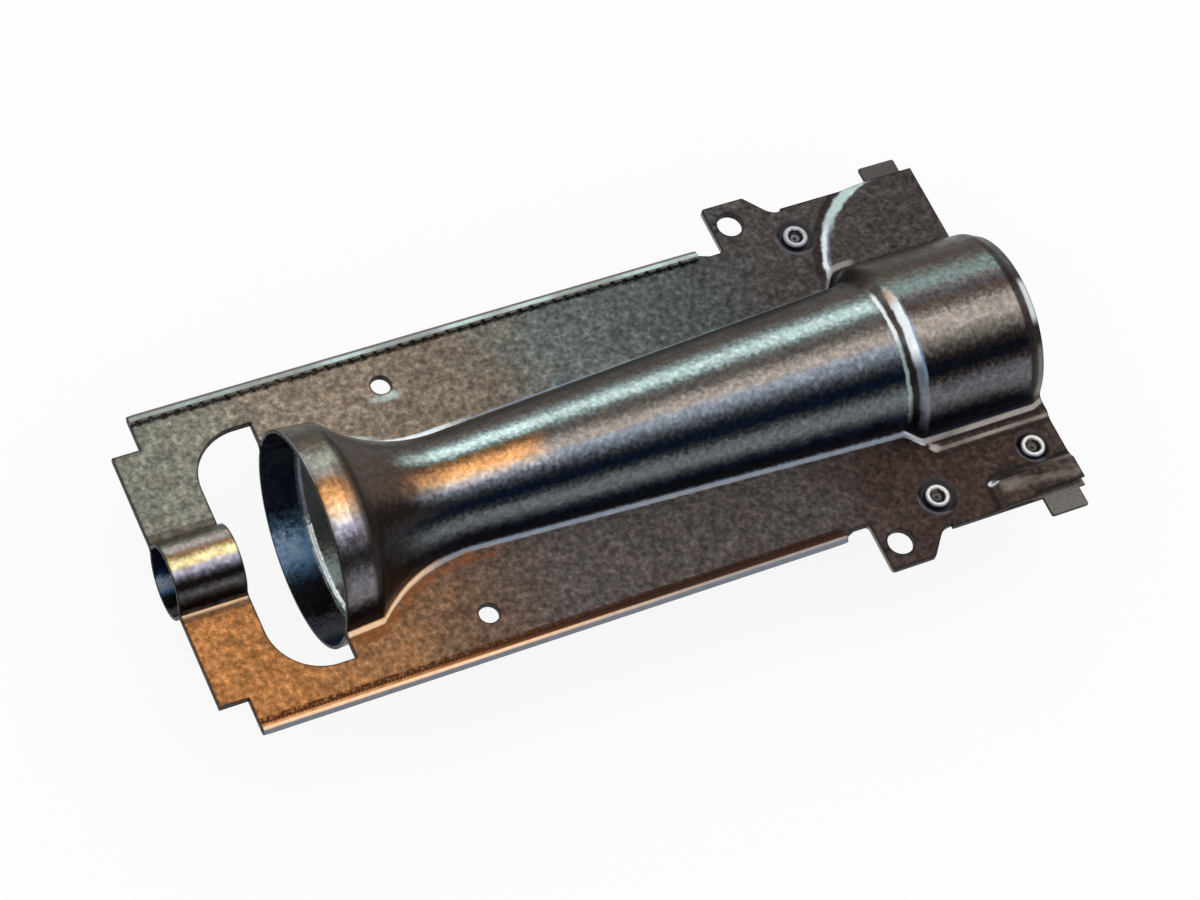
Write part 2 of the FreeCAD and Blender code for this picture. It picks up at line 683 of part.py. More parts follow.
def make_ribbon():
    """Corrugated ribbon between core and band: one wave, repeated round the gas axis."""
    body = doc.addObject("PartDesign::Body", "retention_ribbon")
    low = d.core_bore + d.insert_gauge + d.ribbon_play
    high = d.barrel_bore - d.insert_play - d.insert_gauge - d.ribbon_play
    half_wave = as_size(180 / WAVES)
    leg = half_wave / 2
    degrees = as_size(180 / math.pi)

    def spot(radius, angle):
        return radius * sine(angle), radius * cosine(angle)

    outer_side = [
        spot(low + d.ribbon_gauge, -half_wave),
        spot(low + d.ribbon_gauge, -leg - degrees * d.ribbon_gauge / low / 2),
        spot(high, -leg - degrees * d.ribbon_gauge / high / 2),
    ]
    inner_side = [
        spot(high - d.ribbon_gauge, -leg + degrees * d.ribbon_gauge / high / 2),
        spot(low, -leg + degrees * d.ribbon_gauge / low / 2),
        spot(low, -half_wave),
    ]
    left = [(-y, z) for y, z in outer_side]
    right = [(-y, z) for y, z in inner_side]
    sketch = new_sketch(body, "wave", "YZ_Plane", insert_back + d.ribbon_setback)
    draw_outline(sketch, outer_side + left[::-1] + right[::-1] + inner_side)
    wave = pad(body, sketch, "fold", insert_front - insert_back - d.ribbon_setback * 2)
    doc.recompute()
    pattern = body.newObject("PartDesign::PolarPattern", "folds")
    pattern.Originals = [wave]
    pattern.Axis = (plane(body, "X_Axis"), [""])
    pattern.Angle = 360
    pattern.Occurrences = WAVES
    body.Tip = pattern
    return body


pieces = [make_upper(), make_lower()]
pieces += [make_rivet(name, x, y) for name, x, y, _ in RIVETS]
pieces += [make_band(), make_ribbon(), make_core()]
doc.recompute()

faults = [o.Name for o in doc.Objects if "Invalid" in o.State or "Error" in o.State]
for piece in pieces:
    if piece.Shape.isNull() or not piece.Shape.isValid() or len(piece.Shape.Solids) != 1:
        faults.append(piece.Label)
if faults:
    raise SystemExit(f"failed: {faults}")

os.makedirs("parts", exist_ok=True)
for piece in pieces:
    piece.Shape.exportStep(f"parts/{piece.Label}.step")
    print(piece.Label, round(piece.Shape.Volume, 1), "mm3")
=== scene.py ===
import math
from collections import namedtuple

import bpy
import numpy as np
from mathutils import Matrix, Vector
from mathutils.geometry import delaunay_2d_cdt


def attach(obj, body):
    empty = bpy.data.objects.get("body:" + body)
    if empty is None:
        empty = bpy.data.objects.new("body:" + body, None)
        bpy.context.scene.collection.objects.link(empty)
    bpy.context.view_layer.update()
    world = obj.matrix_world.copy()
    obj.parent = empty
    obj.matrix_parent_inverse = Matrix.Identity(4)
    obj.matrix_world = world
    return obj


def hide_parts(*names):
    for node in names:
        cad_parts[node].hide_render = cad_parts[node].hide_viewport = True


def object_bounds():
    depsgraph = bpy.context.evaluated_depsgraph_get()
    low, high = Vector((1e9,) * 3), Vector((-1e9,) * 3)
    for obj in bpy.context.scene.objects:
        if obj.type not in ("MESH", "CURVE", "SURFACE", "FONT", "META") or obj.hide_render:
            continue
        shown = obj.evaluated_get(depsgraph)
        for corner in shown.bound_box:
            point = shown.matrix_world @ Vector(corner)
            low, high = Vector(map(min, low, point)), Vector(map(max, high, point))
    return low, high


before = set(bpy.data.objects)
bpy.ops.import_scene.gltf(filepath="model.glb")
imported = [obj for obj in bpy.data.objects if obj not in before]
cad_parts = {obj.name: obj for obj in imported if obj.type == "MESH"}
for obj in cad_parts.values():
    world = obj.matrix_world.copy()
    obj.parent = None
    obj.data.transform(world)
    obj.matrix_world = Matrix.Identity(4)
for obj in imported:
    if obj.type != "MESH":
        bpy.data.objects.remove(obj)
cad_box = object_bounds()

# Sizes of the sheet halves in millimetres
MM = 0.001
GAUGE = 0.8
BEND = 1.4
FAN_BEND = 2.6
LENGTH = 202.0
TOP = cad_box[1][2] / MM
COLLAR_LENGTH = 15.3
COLLAR_RADIUS = 8.4
MOUTH = 31.0
BAND_END = 39.4
THROAT = 50.916
TAPER_END = 168.3
BARREL_START = 171.1
LIP_START = 199.0
TONGUE_LENGTH = 6.4
TONGUE_SIDE = 31.3
AIR_SIDE = 30.0
AIR_CORNER = 12.0
HEM_END = 143.4
HEM_FOLD = 38.8
HEM_LEG = 1.4
HEM_RADIUS = 1.2
EDGE_PLAY = 0.15
NOTCH_SIDE = 37.6
NOTCH_SLOPE = 2.8
NOTCH_CORNER = 0.9
EAR_START = 149.7
EAR_TOP = 10.7
EAR_REACH = 49.8
EAR_CORNER = 0.8
EAR_FOOT = 2.4
EAR_SWEEP = 4.2
WING_START = 167.8
WING_ROOT = 43.7
WING_SIDE = 44.4
TAB_START = 191.0
TAB_END = 200.4
TAB_TIP = 49.2
TAB_CORNER = 0.5
TRIM_START = 189.2
TRIM_SIDE = 43.2
FAN_CENTRE = (197.5, 19.3)
FAN_RADIUS = 28.8
FAN_RISE = 1.5
FAN_RUN = 3.0
# A form on the near side: start along X, distance of its side line from the gas axis, rise and run of its
# slope, radius of its corner, and 1 where it lies between that line and the axis or -1 where it lies beyond
Form = namedtuple("Form", "start side rise run corner ahead")
RIDGE = Form(start=171.4, side=26.6, rise=0.9, run=1.5, corner=3.0, ahead=1)
POCKET = Form(start=180.3, side=36.4, rise=1.0, run=1.3, corner=2.5, ahead=-1)
DISH_DEPTH = 0.9
DISH_RUN = 1.3
SEAT_RING = 2.75
# Holes and dishes: place along X and Y, radius
EAR_HOLES = [(154.5, 43.9, 3.0), (154.5, -43.9, 3.0)]
PIN_HOLES = [(61.5, 29.8, 2.25), (61.5, -29.8, 2.25)]
RIVETS = {
    "rear_far_rivet": (167.8, 36.2, 5.0),
    "rear_near_rivet": (167.8, -36.2, 5.0),
    "front_near_rivet": (194.8, -31.9, 4.3),
}
RIVET_HOLE = 2.15
RIVET_BORE = 1.15
DIRT_HOLE = 0.4
ROLL_RADIUS = 2.3
ROLL_REACH = 0.75
ROLL_RISE = 0.62
ROLL_SWEEP = (-80, 190)
FLARE_RADIUS = 1.35
FLARE_HEIGHT = 0.35
DIRT_RIM = 0.1
DIRT_DIP = 0.05
SHANK_PLAY = 0.07
SHANK_LAP = 0.02
EDGE_BREAK = 0.12
# Crimped teeth of the hems: pitch, share of it that a gap takes, depth
TEETH = {"near": (0.85, 0.5, 0.3), "far": (2.9, 0.42, 0.45)}
TEETH_MARGIN = 1.2
# Share of a slope's run that each of its bends reaches to both sides
ROUND_SHARE = 0.2
# Number of points round a rivet's hole and dish, round the other holes, and round the carry-over form
RIVET_POINTS = 44
HOLE_POINTS = 36
FAN_POINTS = 220
# Value for a point that is nowhere near a form, and play for comparing places
FAR_OFF = 9.0
PLAY = 0.01
# Floor in metres, share of its own light, and brightness of that light
FLOOR_HEIGHT = -0.0245
FLOOR_GLOW = 0.85
PAPER_WHITE = 1.04


def bore_to_outside(corners):
    """Moves the bore's corners out by the sheet's gauge along the mitre at each bend."""
    angles = [math.atan2(b[1] - a[1], b[0] - a[0]) for a, b in zip(corners, corners[1:])]
    moved = [(corners[0][0], corners[0][1] + GAUGE, 0)]
    for (x, radius, bend), before, after in zip(corners[1:-1], angles, angles[1:]):
        shift = GAUGE / math.cos((after - before) / 2)
        middle = (before + after) / 2
        outside = bend - GAUGE if after > before else bend + GAUGE
        moved.append((x - shift * math.sin(middle), radius + shift * math.cos(middle), outside))
    moved.append((corners[-1][0], corners[-1][1] + GAUGE, 0))
    return moved


# Corners of the bore from the bell to the lip: place along X, radius, bend radius
BORE = [
    (MOUTH, 23.5, 0), (BAND_END, 22.8, 0.8), (THROAT, 12.061, 35.25), (TAPER_END, 18.2, 2.6),
    (BARREL_START, 21.5, 1.0), (LIP_START, 21.5, 1.7), (LENGTH, 20.3, 0),
]


class Outline:
    """Radius of the tube along X, with its lines and arcs kept exact."""

    def __init__(self, corners):
        self.arcs = []
        ends = [(corners[0][0], corners[0][1])]
        for before, (x, y, bend), after in zip(corners, corners[1:], corners[2:]):
            first = math.atan2(y - before[1], x - before[0])
            second = math.atan2(after[1] - y, after[0] - x)
            reach = bend * math.tan(abs(second - first) / 2)
            start = (x - reach * math.cos(first), y - reach * math.sin(first))
            end = (x + reach * math.cos(second), y + reach * math.sin(second))
            bulge = 1 if second < first else -1
            centre_x = start[0] + bulge * bend * math.sin(first)
            centre_y = start[1] - bulge * bend * math.cos(first)
            self.arcs.append((start[0], end[0], (centre_x, centre_y), bend, bulge))
            ends += [start, end]
        ends.append((corners[-1][0], corners[-1][1]))
        self.ends = ends

    def radius(self, x):
        places, radii = zip(*self.ends)
        found = np.interp(x, places, radii)
        for start, end, centre, size, bulge in self.arcs:
            inside = (x > start) & (x < end)
            reach = np.sqrt(np.maximum(size ** 2 - (x - centre[0]) ** 2, 0))
            found = np.where(inside, centre[1] + bulge * reach, found)
        return found

    def stations(self, coarse, fine):
        """Places along X, close together in the bends and wider apart between them."""
        places = [self.ends[0][0]]
        for i, (start, end) in enumerate(zip(self.ends, self.ends[1:])):
            step = fine if i % 2 else coarse
            if i % 2:
                step = min(max(self.arcs[i // 2][3] * 0.12, fine), coarse)
            count = max(1, math.ceil((end[0] - start[0]) / step))
            places += list(np.linspace(start[0], end[0], count + 1)[1:])
        return np.array(places)


VENTURI = Outline(bore_to_outside(BORE))


def outside_radius(x):
    return np.where(x < (COLLAR_LENGTH + MOUTH) / 2, COLLAR_RADIUS, VENTURI.radius(x))


def ramp(distance, run):
    """0 at the foot and 1 on the plateau of a pressed slope, with rounded bends at both."""
    u = distance / run
    c = ROUND_SHARE
    low = np.where(u < -c, 0.0, np.where(u < c, (u + c) ** 2 / (4 * c), u))
    top = 1 - u
    high = np.where(top < -c, 0.0, np.where(top < c, (top + c) ** 2 / (4 * c), top))
    return np.where(u < 0.5, low, 1 - high)


def has_tube(x):
    """Where the tube stands over the flanges, that is everywhere but along the air opening."""
    return (x < COLLAR_LENGTH + 2) | (x > MOUTH - 2)


def side_of(v):
    return np.where(v < 0, -1.0, 1.0)


def fan_depth(x, y):
    """Distance inside the rim of the carry-over form, which is on the far side."""
    away = np.hypot(x - FAN_CENTRE[0], y - FAN_CENTRE[1])
    return np.where(y > 0, FAN_RADIUS - away, -FAR_OFF)


def corner_depth(x, y, form):
    """Distance inside the foot of a form that has one rounded corner, on the near side."""
    before = np.maximum(form.start + form.corner - x, 0)
    beside = np.maximum(form.corner - form.ahead * (y + form.side), 0)
    return np.where(y < 0, form.corner - np.hypot(before, beside), -FAR_OFF)


def dish_depth(x, y):
    """Distance inside the rim of the nearest rivet's dish."""
    return np.max([radius - np.hypot(x - rx, y - ry) for rx, ry, radius in RIVETS.values()], axis=0)


def dishes(x, y):
    """Depth of the rivets' dishes."""
    return DISH_DEPTH * ramp(dish_depth(x, y), DISH_RUN)


def upper_forms(x, y):
    """Height of the upper sheet's pressed forms above the flange."""
    height = FAN_RISE * ramp(fan_depth(x, y), FAN_RUN)
    for form in (RIDGE, POCKET):
        height = height + form.rise * ramp(corner_depth(x, y, form), form.run)
    return height


class Shell:
    """One sheet half. A point of its blank, (x, v), goes to a place on the pressed outer face.

    Near the tube, v runs from the foot of the bend over the top to the other foot. Heights are measured away
    from the plane where the halves meet, so the lower half is built the same way and mirrored at the end.
    """

    def __init__(self, forms, dish_sign, hemmed):
        self.forms = forms
        self.dish_sign = dish_sign
        self.hemmed = hemmed

    def height(self, x, y):
        return GAUGE + self.forms(x, y) + self.dish_sign * dishes(x, y)

    def section(self, x, side):
        """Foot, level, bend radius and tube radius of one side of the section at x."""
        tube = outside_radius(x)
        foot = np.sqrt((tube + BEND) ** 2 - (GAUGE + BEND) ** 2)
        for _ in range(3):
            rise = self.forms(x, side * (foot + 0.4))
            level = GAUGE + rise
            bend = BEND + (FAN_BEND - BEND) * np.clip(rise / FAN_RISE, 0, 1)
            foot = np.sqrt((tube + bend) ** 2 - (level + bend) ** 2)
        return foot, level, bend, tube

    def place(self, x, v):
        """Points on the outer face for blank coordinates x and v."""
        x, v = np.asarray(x, float), np.asarray(v, float)
        side = side_of(v)
        foot, level, bend, tube = self.section(x, side)
        along = np.clip(1 - np.abs(v) / foot, 0, 1)
        start = np.arcsin(np.clip((level + bend) / (tube + bend), -1, 1))
        sweep = math.pi / 2 - start
        path = along * (tube + bend) * sweep
        in_bend = path < bend * sweep
        turn = path / bend
        around = start + (path - bend * sweep) / tube
        bend_y = foot - bend * np.sin(turn)
        bend_z = level + bend - bend * np.cos(turn)
        y = np.where(in_bend, bend_y, tube * np.cos(around))
        z = np.where(in_bend, bend_z, tube * np.sin(around))
        flat = (np.abs(v) >= foot) | ~has_tube(x)
        y = np.where(flat, np.abs(v), y) * side
        z = np.where(flat, self.height(x, v), z)
        if self.hemmed:
            past = np.abs(v) - HEM_FOLD
            turn = np.clip(past / HEM_RADIUS, 0, math.pi)
            leg = np.maximum(past - math.pi * HEM_RADIUS, 0)
            fold_y = HEM_FOLD + HEM_RADIUS * np.sin(turn) - leg
            fold_z = -GAUGE / 2 + HEM_RADIUS * np.cos(turn)
            folded = (past > 0) & (x < HEM_END + PLAY)
            y = np.where(folded, fold_y * side, y)
            z = np.where(folded, fold_z, z)
        return np.stack([x, y, z], axis=-1)

    def normals(self, x, v, step=0.02):
        along = self.place(x + step, v) - self.place(x - step, v)
        across = self.place(x, v + step) - self.place(x, v - step)
        found = np.cross(along, across)
        return found / np.linalg.norm(found, axis=-1, keepdims=True)


# Distances along the fold of a hem
HEM_TURNS = [*np.linspace(0, math.pi * HEM_RADIUS, 11), math.pi * HEM_RADIUS + 0.7]
# Share of the way from the foot of the bend (0) through the bend (1) to the top of the tube (2)
WRAP = np.concatenate([np.linspace(0, 1, 7), 1 + np.linspace(0, 1, 25)[1:]])


def wrap_spots(shell, x, side, wrap):
    """Blank coordinate v of points of the section at x, given by their share of the wrap."""
    foot, level, bend, tube = shell.section(np.asarray(x, float), side)
    bend_share = bend / (bend + tube)
    share = np.where(wrap < 1, wrap * bend_share, bend_share + (wrap - 1) * (1 - bend_share))
    return side * foot * (1 - share)


def rounded(corners, step):
    """Points along an outline with rounded corners, given as (x, y) or (x, y, radius)."""
    points = []
    count = len(corners)
    for i, corner in enumerate(corners):
        here = np.array(corner[:2], float)
        if len(corner) < 3:
            points.append(here)
            continue
        before = np.array(corners[i - 1][:2]) - here
        after = np.array(corners[(i + 1) % count][:2]) - here
        before, after = before / np.linalg.norm(before), after / np.linalg.norm(after)
        half = math.acos(float(np.clip(before @ after, -1, 1))) / 2
        centre = here + (before + after) / np.linalg.norm(before + after) * corner[2] / math.sin(half)
        first, last = here + before * corner[2] / math.tan(half), here + after * corner[2] / math.tan(half)
        a, b = (math.atan2(*(p - centre)[::-1]) for p in (first, last))
        sweep = (b - a + math.pi) % (2 * math.pi) - math.pi
        parts = max(3, math.ceil(abs(sweep) * corner[2] / step))
        for k in range(parts + 1):
            angle = a + sweep * k / parts
            points.append(centre + corner[2] * np.array([math.cos(angle), math.sin(angle)]))
    return points


def filled(points, step, cuts):
    """Adds points along the sides of a closed outline, and the v values of cuts on the sides at its x."""
    dense = []
    for here, after in zip(points, [*points[1:], points[0]]):
        low, high = sorted((here[1], after[1]))
        inner = []
        for x, values in cuts.items():
            if abs(here[0] - x) < 1e-6 and abs(after[0] - x) < 1e-6:
                inner = [np.array([here[0], v]) for v in values if low + 0.05 < v < high - 0.05]
        stops = [here, *(inner if here[1] < after[1] else inner[::-1]), after]
        for a, b in zip(stops, stops[1:]):
            parts = max(1, math.ceil(np.linalg.norm(b - a) / step))
            dense += [a + (b - a) * k / parts for k in range(parts)]
    return np.array(dense)


def inset(loop, distance):
    """Moves a closed loop inwards, its inside on the left."""
    before, after = np.roll(loop, 1, axis=0), np.roll(loop, -1, axis=0)
    one, two = loop - before, after - loop
    one /= np.linalg.norm(one, axis=1, keepdims=True)
    two /= np.linalg.norm(two, axis=1, keepdims=True)
    first, second = np.stack([-one[:, 1], one[:, 0]], 1), np.stack([-two[:, 1], two[:, 0]], 1)
    spread = 1 + (first * second).sum(1, keepdims=True)
    return loop + (first + second) / np.maximum(spread, 0.3) * distance


def inside(points, loop):
    """Even-odd test of many points against a closed loop."""
    x, y = points[:, 0:1], points[:, 1:2]
    ax, ay = loop[:, 0], loop[:, 1]
    bx, by = np.roll(ax, -1), np.roll(ay, -1)
    crossing = (ay > y) != (by > y)
    with np.errstate(divide="ignore", invalid="ignore"):
        at = (bx - ax) * (y - ay) / (by - ay) + ax
    return (crossing & (x < at)).sum(1) % 2 == 1


def clearance(points, loops):
    """Distance of each point to the nearest loop point."""
    best = np.full(len(points), 1e9)
    spots = np.concatenate(loops)
    for k in range(0, len(points), 4000):
        block = points[k:k + 4000]
        gaps = np.hypot(block[:, 0:1] - spots[:, 0], block[:, 1:2] - spots[:, 1])
        best[k:k + 4000] = gaps.min(1)
    return best


def circle(x, y, radius, count, start=0.0):
    """Clockwise circle, so its hole's outside is on the left."""
    angles = start - np.arange(count) * 2 * math.pi / count
    return np.stack([x + radius * np.cos(angles), y + radius * np.sin(angles)], 1)


def teeth(edge, pitch, share, depth):
    """Corners of a hem's crimped edge. Each gap takes a share of the pitch and is a little different."""
    corners = []
    for x in np.arange(TONGUE_LENGTH + TEETH_MARGIN, HEM_END - TEETH_MARGIN - pitch, pitch):
        gap = pitch * share * (1 + 0.3 * math.sin(2.4 * x))
        low = edge - depth * (1 + 0.25 * math.sin(3.7 * x))
        corners += [(x, edge), (x + 0.25 * gap, low), (x + 0.75 * gap, low), (x + gap, edge)]
    return corners


def blank_outline(hem_edge, tabs, trimmed):
    """Anticlockwise outline of a flat blank."""
    sides = {}
    for side in ("far", "near"):
        sides[side] = [(0, TONGUE_SIDE), (TONGUE_LENGTH, TONGUE_SIDE), (TONGUE_LENGTH, hem_edge)]
        if tabs:
            sides[side] += teeth(hem_edge, *TEETH[side])
        sides[side].append((HEM_END, hem_edge))
        if tabs:
            sides[side].append((HEM_END, HEM_FOLD - 0.05))
        sides[side] += wing_outline(tabs)
    far, near = sides["far"], [(c[0], -c[1], *c[2:]) for c in sides["near"]]
    far.append((LENGTH, WING_SIDE))
    if trimmed:
        near += [(TRIM_START, -WING_SIDE), (TRIM_START, -TRIM_SIDE), (LENGTH, -TRIM_SIDE)]
    else:
        near.append((LENGTH, -WING_SIDE))
    return near + far[::-1]


def wing_outline(tabs):
    """Corners of the notch, the ear and the wing."""
    corners = [
        (HEM_END + NOTCH_SLOPE, NOTCH_SIDE), (EAR_START, NOTCH_SIDE, NOTCH_CORNER),
        (EAR_START, EAR_REACH, EAR_CORNER), (EAR_START + EAR_TOP, EAR_REACH, EAR_CORNER),
        (WING_START - EAR_FOOT, WING_ROOT, EAR_SWEEP), (WING_START, WING_ROOT), (WING_START, WING_SIDE),
    ]
    if tabs:
        corners += [(TAB_START, WING_SIDE), (TAB_START, TAB_TIP, TAB_CORNER)]
        corners += [(TAB_END, TAB_TIP, TAB_CORNER), (TAB_END, WING_SIDE)]
    return corners


def bent_rows(shell):
    """Rows of blank points along the tube and the hems, which the triangles' edges follow."""
    rows = []
    for places in (np.linspace(0, COLLAR_LENGTH, 12), VENTURI.stations(1.6, 0.35)):
        foot = np.zeros_like(places)
        for side in (-1.0, 1.0):
            shares = WRAP if side > 0 else WRAP[:-1]
            spots = [wrap_spots(shell, places, side, foot + share) for share in shares]
            spots += [wrap_spots(shell, places, side, foot) + side * out for out in (0.5, 1.2)]
            rows += [np.stack([places, v], 1) for v in spots]
    if shell.hemmed:
        places = np.arange(TONGUE_LENGTH + 1.5, HEM_END - 0.5, 1.5)
        for past in HEM_TURNS:
            for side in (-1, 1):
                rows.append(np.stack([places, np.full_like(places, side * (HEM_FOLD + past))], 1))
    return rows


def corner_bands(form, steps):
    """Lines of points along the slope of a form with one rounded corner."""
    bands = []
    angles = np.linspace(0, math.pi / 2, 9)
    line = np.arange(form.start + form.corner + 0.9, LENGTH, 0.9)
    down = np.arange(form.corner + 0.9, 12, 0.9)
    for away in steps * form.run:
        reach = form.corner - away
        corner_x = form.start + form.corner - reach * np.cos(angles)
        corner_y = -form.side + form.ahead * (form.corner - reach * np.sin(angles))
        bands.append(np.stack([corner_x, corner_y], 1))
        bands.append(np.stack([line, np.full_like(line, -form.side + form.ahead * away)], 1))
        bands.append(np.stack([np.full_like(down, form.start + away), -form.side + form.ahead * down], 1))
    return bands


def form_points(shell):
    """Points along the slopes of the pressed forms, and the ring-shaped zones that they fill."""
    low = [share * ROUND_SHARE for share in (-1.8, -1, -0.5, 0, 0.5, 1)]
    steps = np.array([*low, 0.5, *(1 - step for step in low[::-1])])
    bands, zones = [], []
    for x, y, radius in RIVETS.values():
        zones.append((x, y, 0, radius + 0.7))
        bands += [circle(x, y, away, RIVET_POINTS) for away in [*(radius - steps * DISH_RUN), SEAT_RING]]
    if shell.forms is upper_forms:
        zones.append((*FAN_CENTRE, FAN_RADIUS - FAN_RUN * 1.4, FAN_RADIUS + FAN_RUN * 0.4))
        bands += [circle(*FAN_CENTRE, away, FAN_POINTS) for away in FAN_RADIUS - steps * FAN_RUN]
        bands += corner_bands(RIDGE, steps) + corner_bands(POCKET, steps)
    points = np.concatenate(bands)
    foot = shell.section(points[:, 0], side_of(points[:, 1]))[0]
    return points[(points[:, 0] < LENGTH) & (np.abs(points[:, 1]) > foot + 1.5)], zones


def flat_points(shell, spacing, forms, zones):
    """A grid over the flat parts of the blank, clear of the bends and the pressed slopes."""
    x, y = np.meshgrid(np.arange(1.2, LENGTH, spacing), np.arange(-50.2, 50.3, spacing))
    flat = np.stack([x.ravel(), y.ravel()], 1)
    foot = shell.section(flat[:, 0], side_of(flat[:, 1]))[0]
    no_tube = (flat[:, 0] > COLLAR_LENGTH) & (flat[:, 0] < MOUTH)
    flat = flat[(np.abs(flat[:, 1]) > foot + 1.9) | no_tube]
    for zx, zy, low, high in zones:
        away = np.hypot(flat[:, 0] - zx, flat[:, 1] - zy)
        flat = flat[(away < low) | (away > high)]
    flat = flat[clearance(flat, [forms]) > 0.45 * spacing]
    if shell.hemmed:
        flat = flat[(np.abs(flat[:, 1]) < HEM_FOLD - 0.8) | (flat[:, 0] > HEM_END + 0.8)]
    return flat


def thin_out(points, gap):
    """Drops points that repeat another one's cell."""
    _, keep = np.unique(np.round(points / gap).astype(np.int64), axis=0, return_index=True)
    return points[np.sort(keep)]


def in_sheet(points, loops, margin=0.0):
    """Which points lie inside the outline, outside the holes and at least a margin from both."""
    ok = inside(points, loops[0])
    for hole in loops[1:]:
        ok &= ~inside(points, hole)
    if margin:
        ok &= clearance(points, loops) > margin
    return ok


def blank_loops(shell, outline):
    """The blank's outline and holes as dense loops, cut where the tube's rows end on them."""
    cuts = {}
    for x in (0.0, COLLAR_LENGTH, MOUTH, LENGTH):
        ends = [wrap_spots(shell, np.array([x]), side, WRAP[None, :])[0] for side in (-1.0, 1.0)]
        cuts[x] = sorted(set(np.round(np.concatenate(ends), 4)))
    air = [(COLLAR_LENGTH, -AIR_SIDE, AIR_CORNER), (COLLAR_LENGTH, AIR_SIDE, AIR_CORNER)]
    air += [(MOUTH, AIR_SIDE), (MOUTH, -AIR_SIDE)]
    loops = [filled(rounded(outline, 0.6), 1.1, cuts), filled(rounded(air, 0.9), 1.1, cuts)]
    loops += [circle(x, y, radius, HOLE_POINTS) for x, y, radius in EAR_HOLES + PIN_HOLES]
    return loops + [circle(x, y, RIVET_HOLE, RIVET_POINTS) for x, y, _ in RIVETS.values()]


def triangulate(shell, rims, spacing):
    """Triangles over the blank. Returns the points, the faces and where each rim point went."""
    edges, parts, base = [], [], 0
    for rim in rims:
        count = len(rim)
        edges += [(base + i, base + (i + 1) % count) for i in range(count)]
        parts.append(rim)
        base += count
    forms, zones = form_points(shell)
    flats = flat_points(shell, spacing, forms, zones)
    for row in bent_rows(shell):
        ok = in_sheet(row, rims, 0.16)
        places = np.cumsum(ok) - 1 + base
        edges += [(places[i], places[i + 1]) for i in range(len(row) - 1) if ok[i] and ok[i + 1]]
        parts.append(row[ok])
        base += int(ok.sum())
    bent = np.concatenate(parts[len(rims):])
    free = np.concatenate([forms, flats])
    free = free[in_sheet(free, rims, 0.22)]
    free = thin_out(free[clearance(free, [bent]) > 0.3], 0.12)
    blank = np.concatenate([*parts, free])
    corners = [Vector(p) for p in blank.tolist()]
    found = delaunay_2d_cdt(corners, [(int(a), int(b)) for a, b in edges], [], 1, 1e-6)
    spots = np.array([tuple(p) for p in found[0]])
    faces = np.array(found[2])
    where = {old: new for new, olds in enumerate(found[3]) for old in olds}
    return spots, faces[in_sheet(spots[faces].mean(1), rims)], where


def build_shell(name, shell, flip, outline, spacing=2.2):
    """Triangulates the blank, presses it and closes it into a sheet with broken edges.

    The outer face gets the first material slot, the inner face the second and the cut edges the third.
    """
    loops = blank_loops(shell, outline)
    rims = [inset(loop, EDGE_BREAK) for loop in loops]
    spots, faces, where = triangulate(shell, rims, spacing)
    count = len(spots)
    outer = shell.place(spots[:, 0], spots[:, 1])
    under = outer - GAUGE * shell.normals(spots[:, 0], spots[:, 1])
    points, blank = [outer, under], [spots, spots]
    blocks, slots = [faces, faces[:, ::-1] + count], [0, 1]
    total, base = 2 * count, 0
    for loop, rim in zip(loops, rims):
        n = len(loop)
        ids = np.array([where[base + i] for i in range(n)])
        base += n
        edge, normal = shell.place(loop[:, 0], loop[:, 1]), shell.normals(rim[:, 0], rim[:, 1])
        points += [edge - EDGE_BREAK * normal, edge - (GAUGE - EDGE_BREAK) * normal]
        blank += [loop, loop]
        rows = [ids, total + np.arange(n), total + n + np.arange(n), ids + count]
        total += 2 * n
        for above, below in zip(rows, rows[1:]):
            blocks.append(np.stack([np.roll(above, -1), above, below, np.roll(below, -1)], 1))
            slots.append(2)
    points, blank = np.concatenate(points), np.concatenate(blank)
    values = sheet_values(shell, points, blank, loops)
    points[:, 2] = np.minimum(points[:, 2], TOP)
    if flip:
        points[:, 2] *= -1
    polygons = [tuple(f[::-1]) if flip else tuple(f) for block in blocks for f in block.tolist()]
    piece = make_mesh(name, points, polygons)
    indices = np.concatenate([np.full(len(block), slot) for block, slot in zip(blocks, slots)])
    piece.data.polygons.foreach_set("material_index", indices.astype(np.int32))
    for key, numbers in values.items():
        store(piece, key, numbers)
    return piece


def store(piece, key, numbers):
    """Keeps one number per vertex for the materials to read."""
    made = piece.data.attributes.new(key, "FLOAT", "POINT")
    made.data.foreach_set("value", np.asarray(numbers, np.float32))


def sheet_values(shell, points, blank, loops):
    """What the sheet's material needs to know of each point, in degrees and millimetres."""
    x, v = blank[:, 0], blank[:, 1]
    foot = shell.section(x, side_of(v))[0]
    depths = np.full((3, len(x)), -FAR_OFF)
    if shell.forms is upper_forms:
        depths = [fan_depth(x, v), corner_depth(x, v, RIDGE), corner_depth(x, v, POCKET)]
    return {
        "around": np.degrees(np.arctan2(np.abs(points[:, 2]), points[:, 1])),
        "beside": np.where(has_tube(x), np.abs(v) - foot, FAR_OFF),
        "edge": np.minimum(clearance(blank, loops), 4.0),
        "fan": depths[0],
        "ridge": depths[1],
        "pocket": depths[2],
        "dish": np.maximum(dish_depth(x, v), -FAR_OFF),
        "hem": np.where(shell.hemmed & (x < HEM_END + PLAY), np.abs(v) - HEM_FOLD, -FAR_OFF),
    }


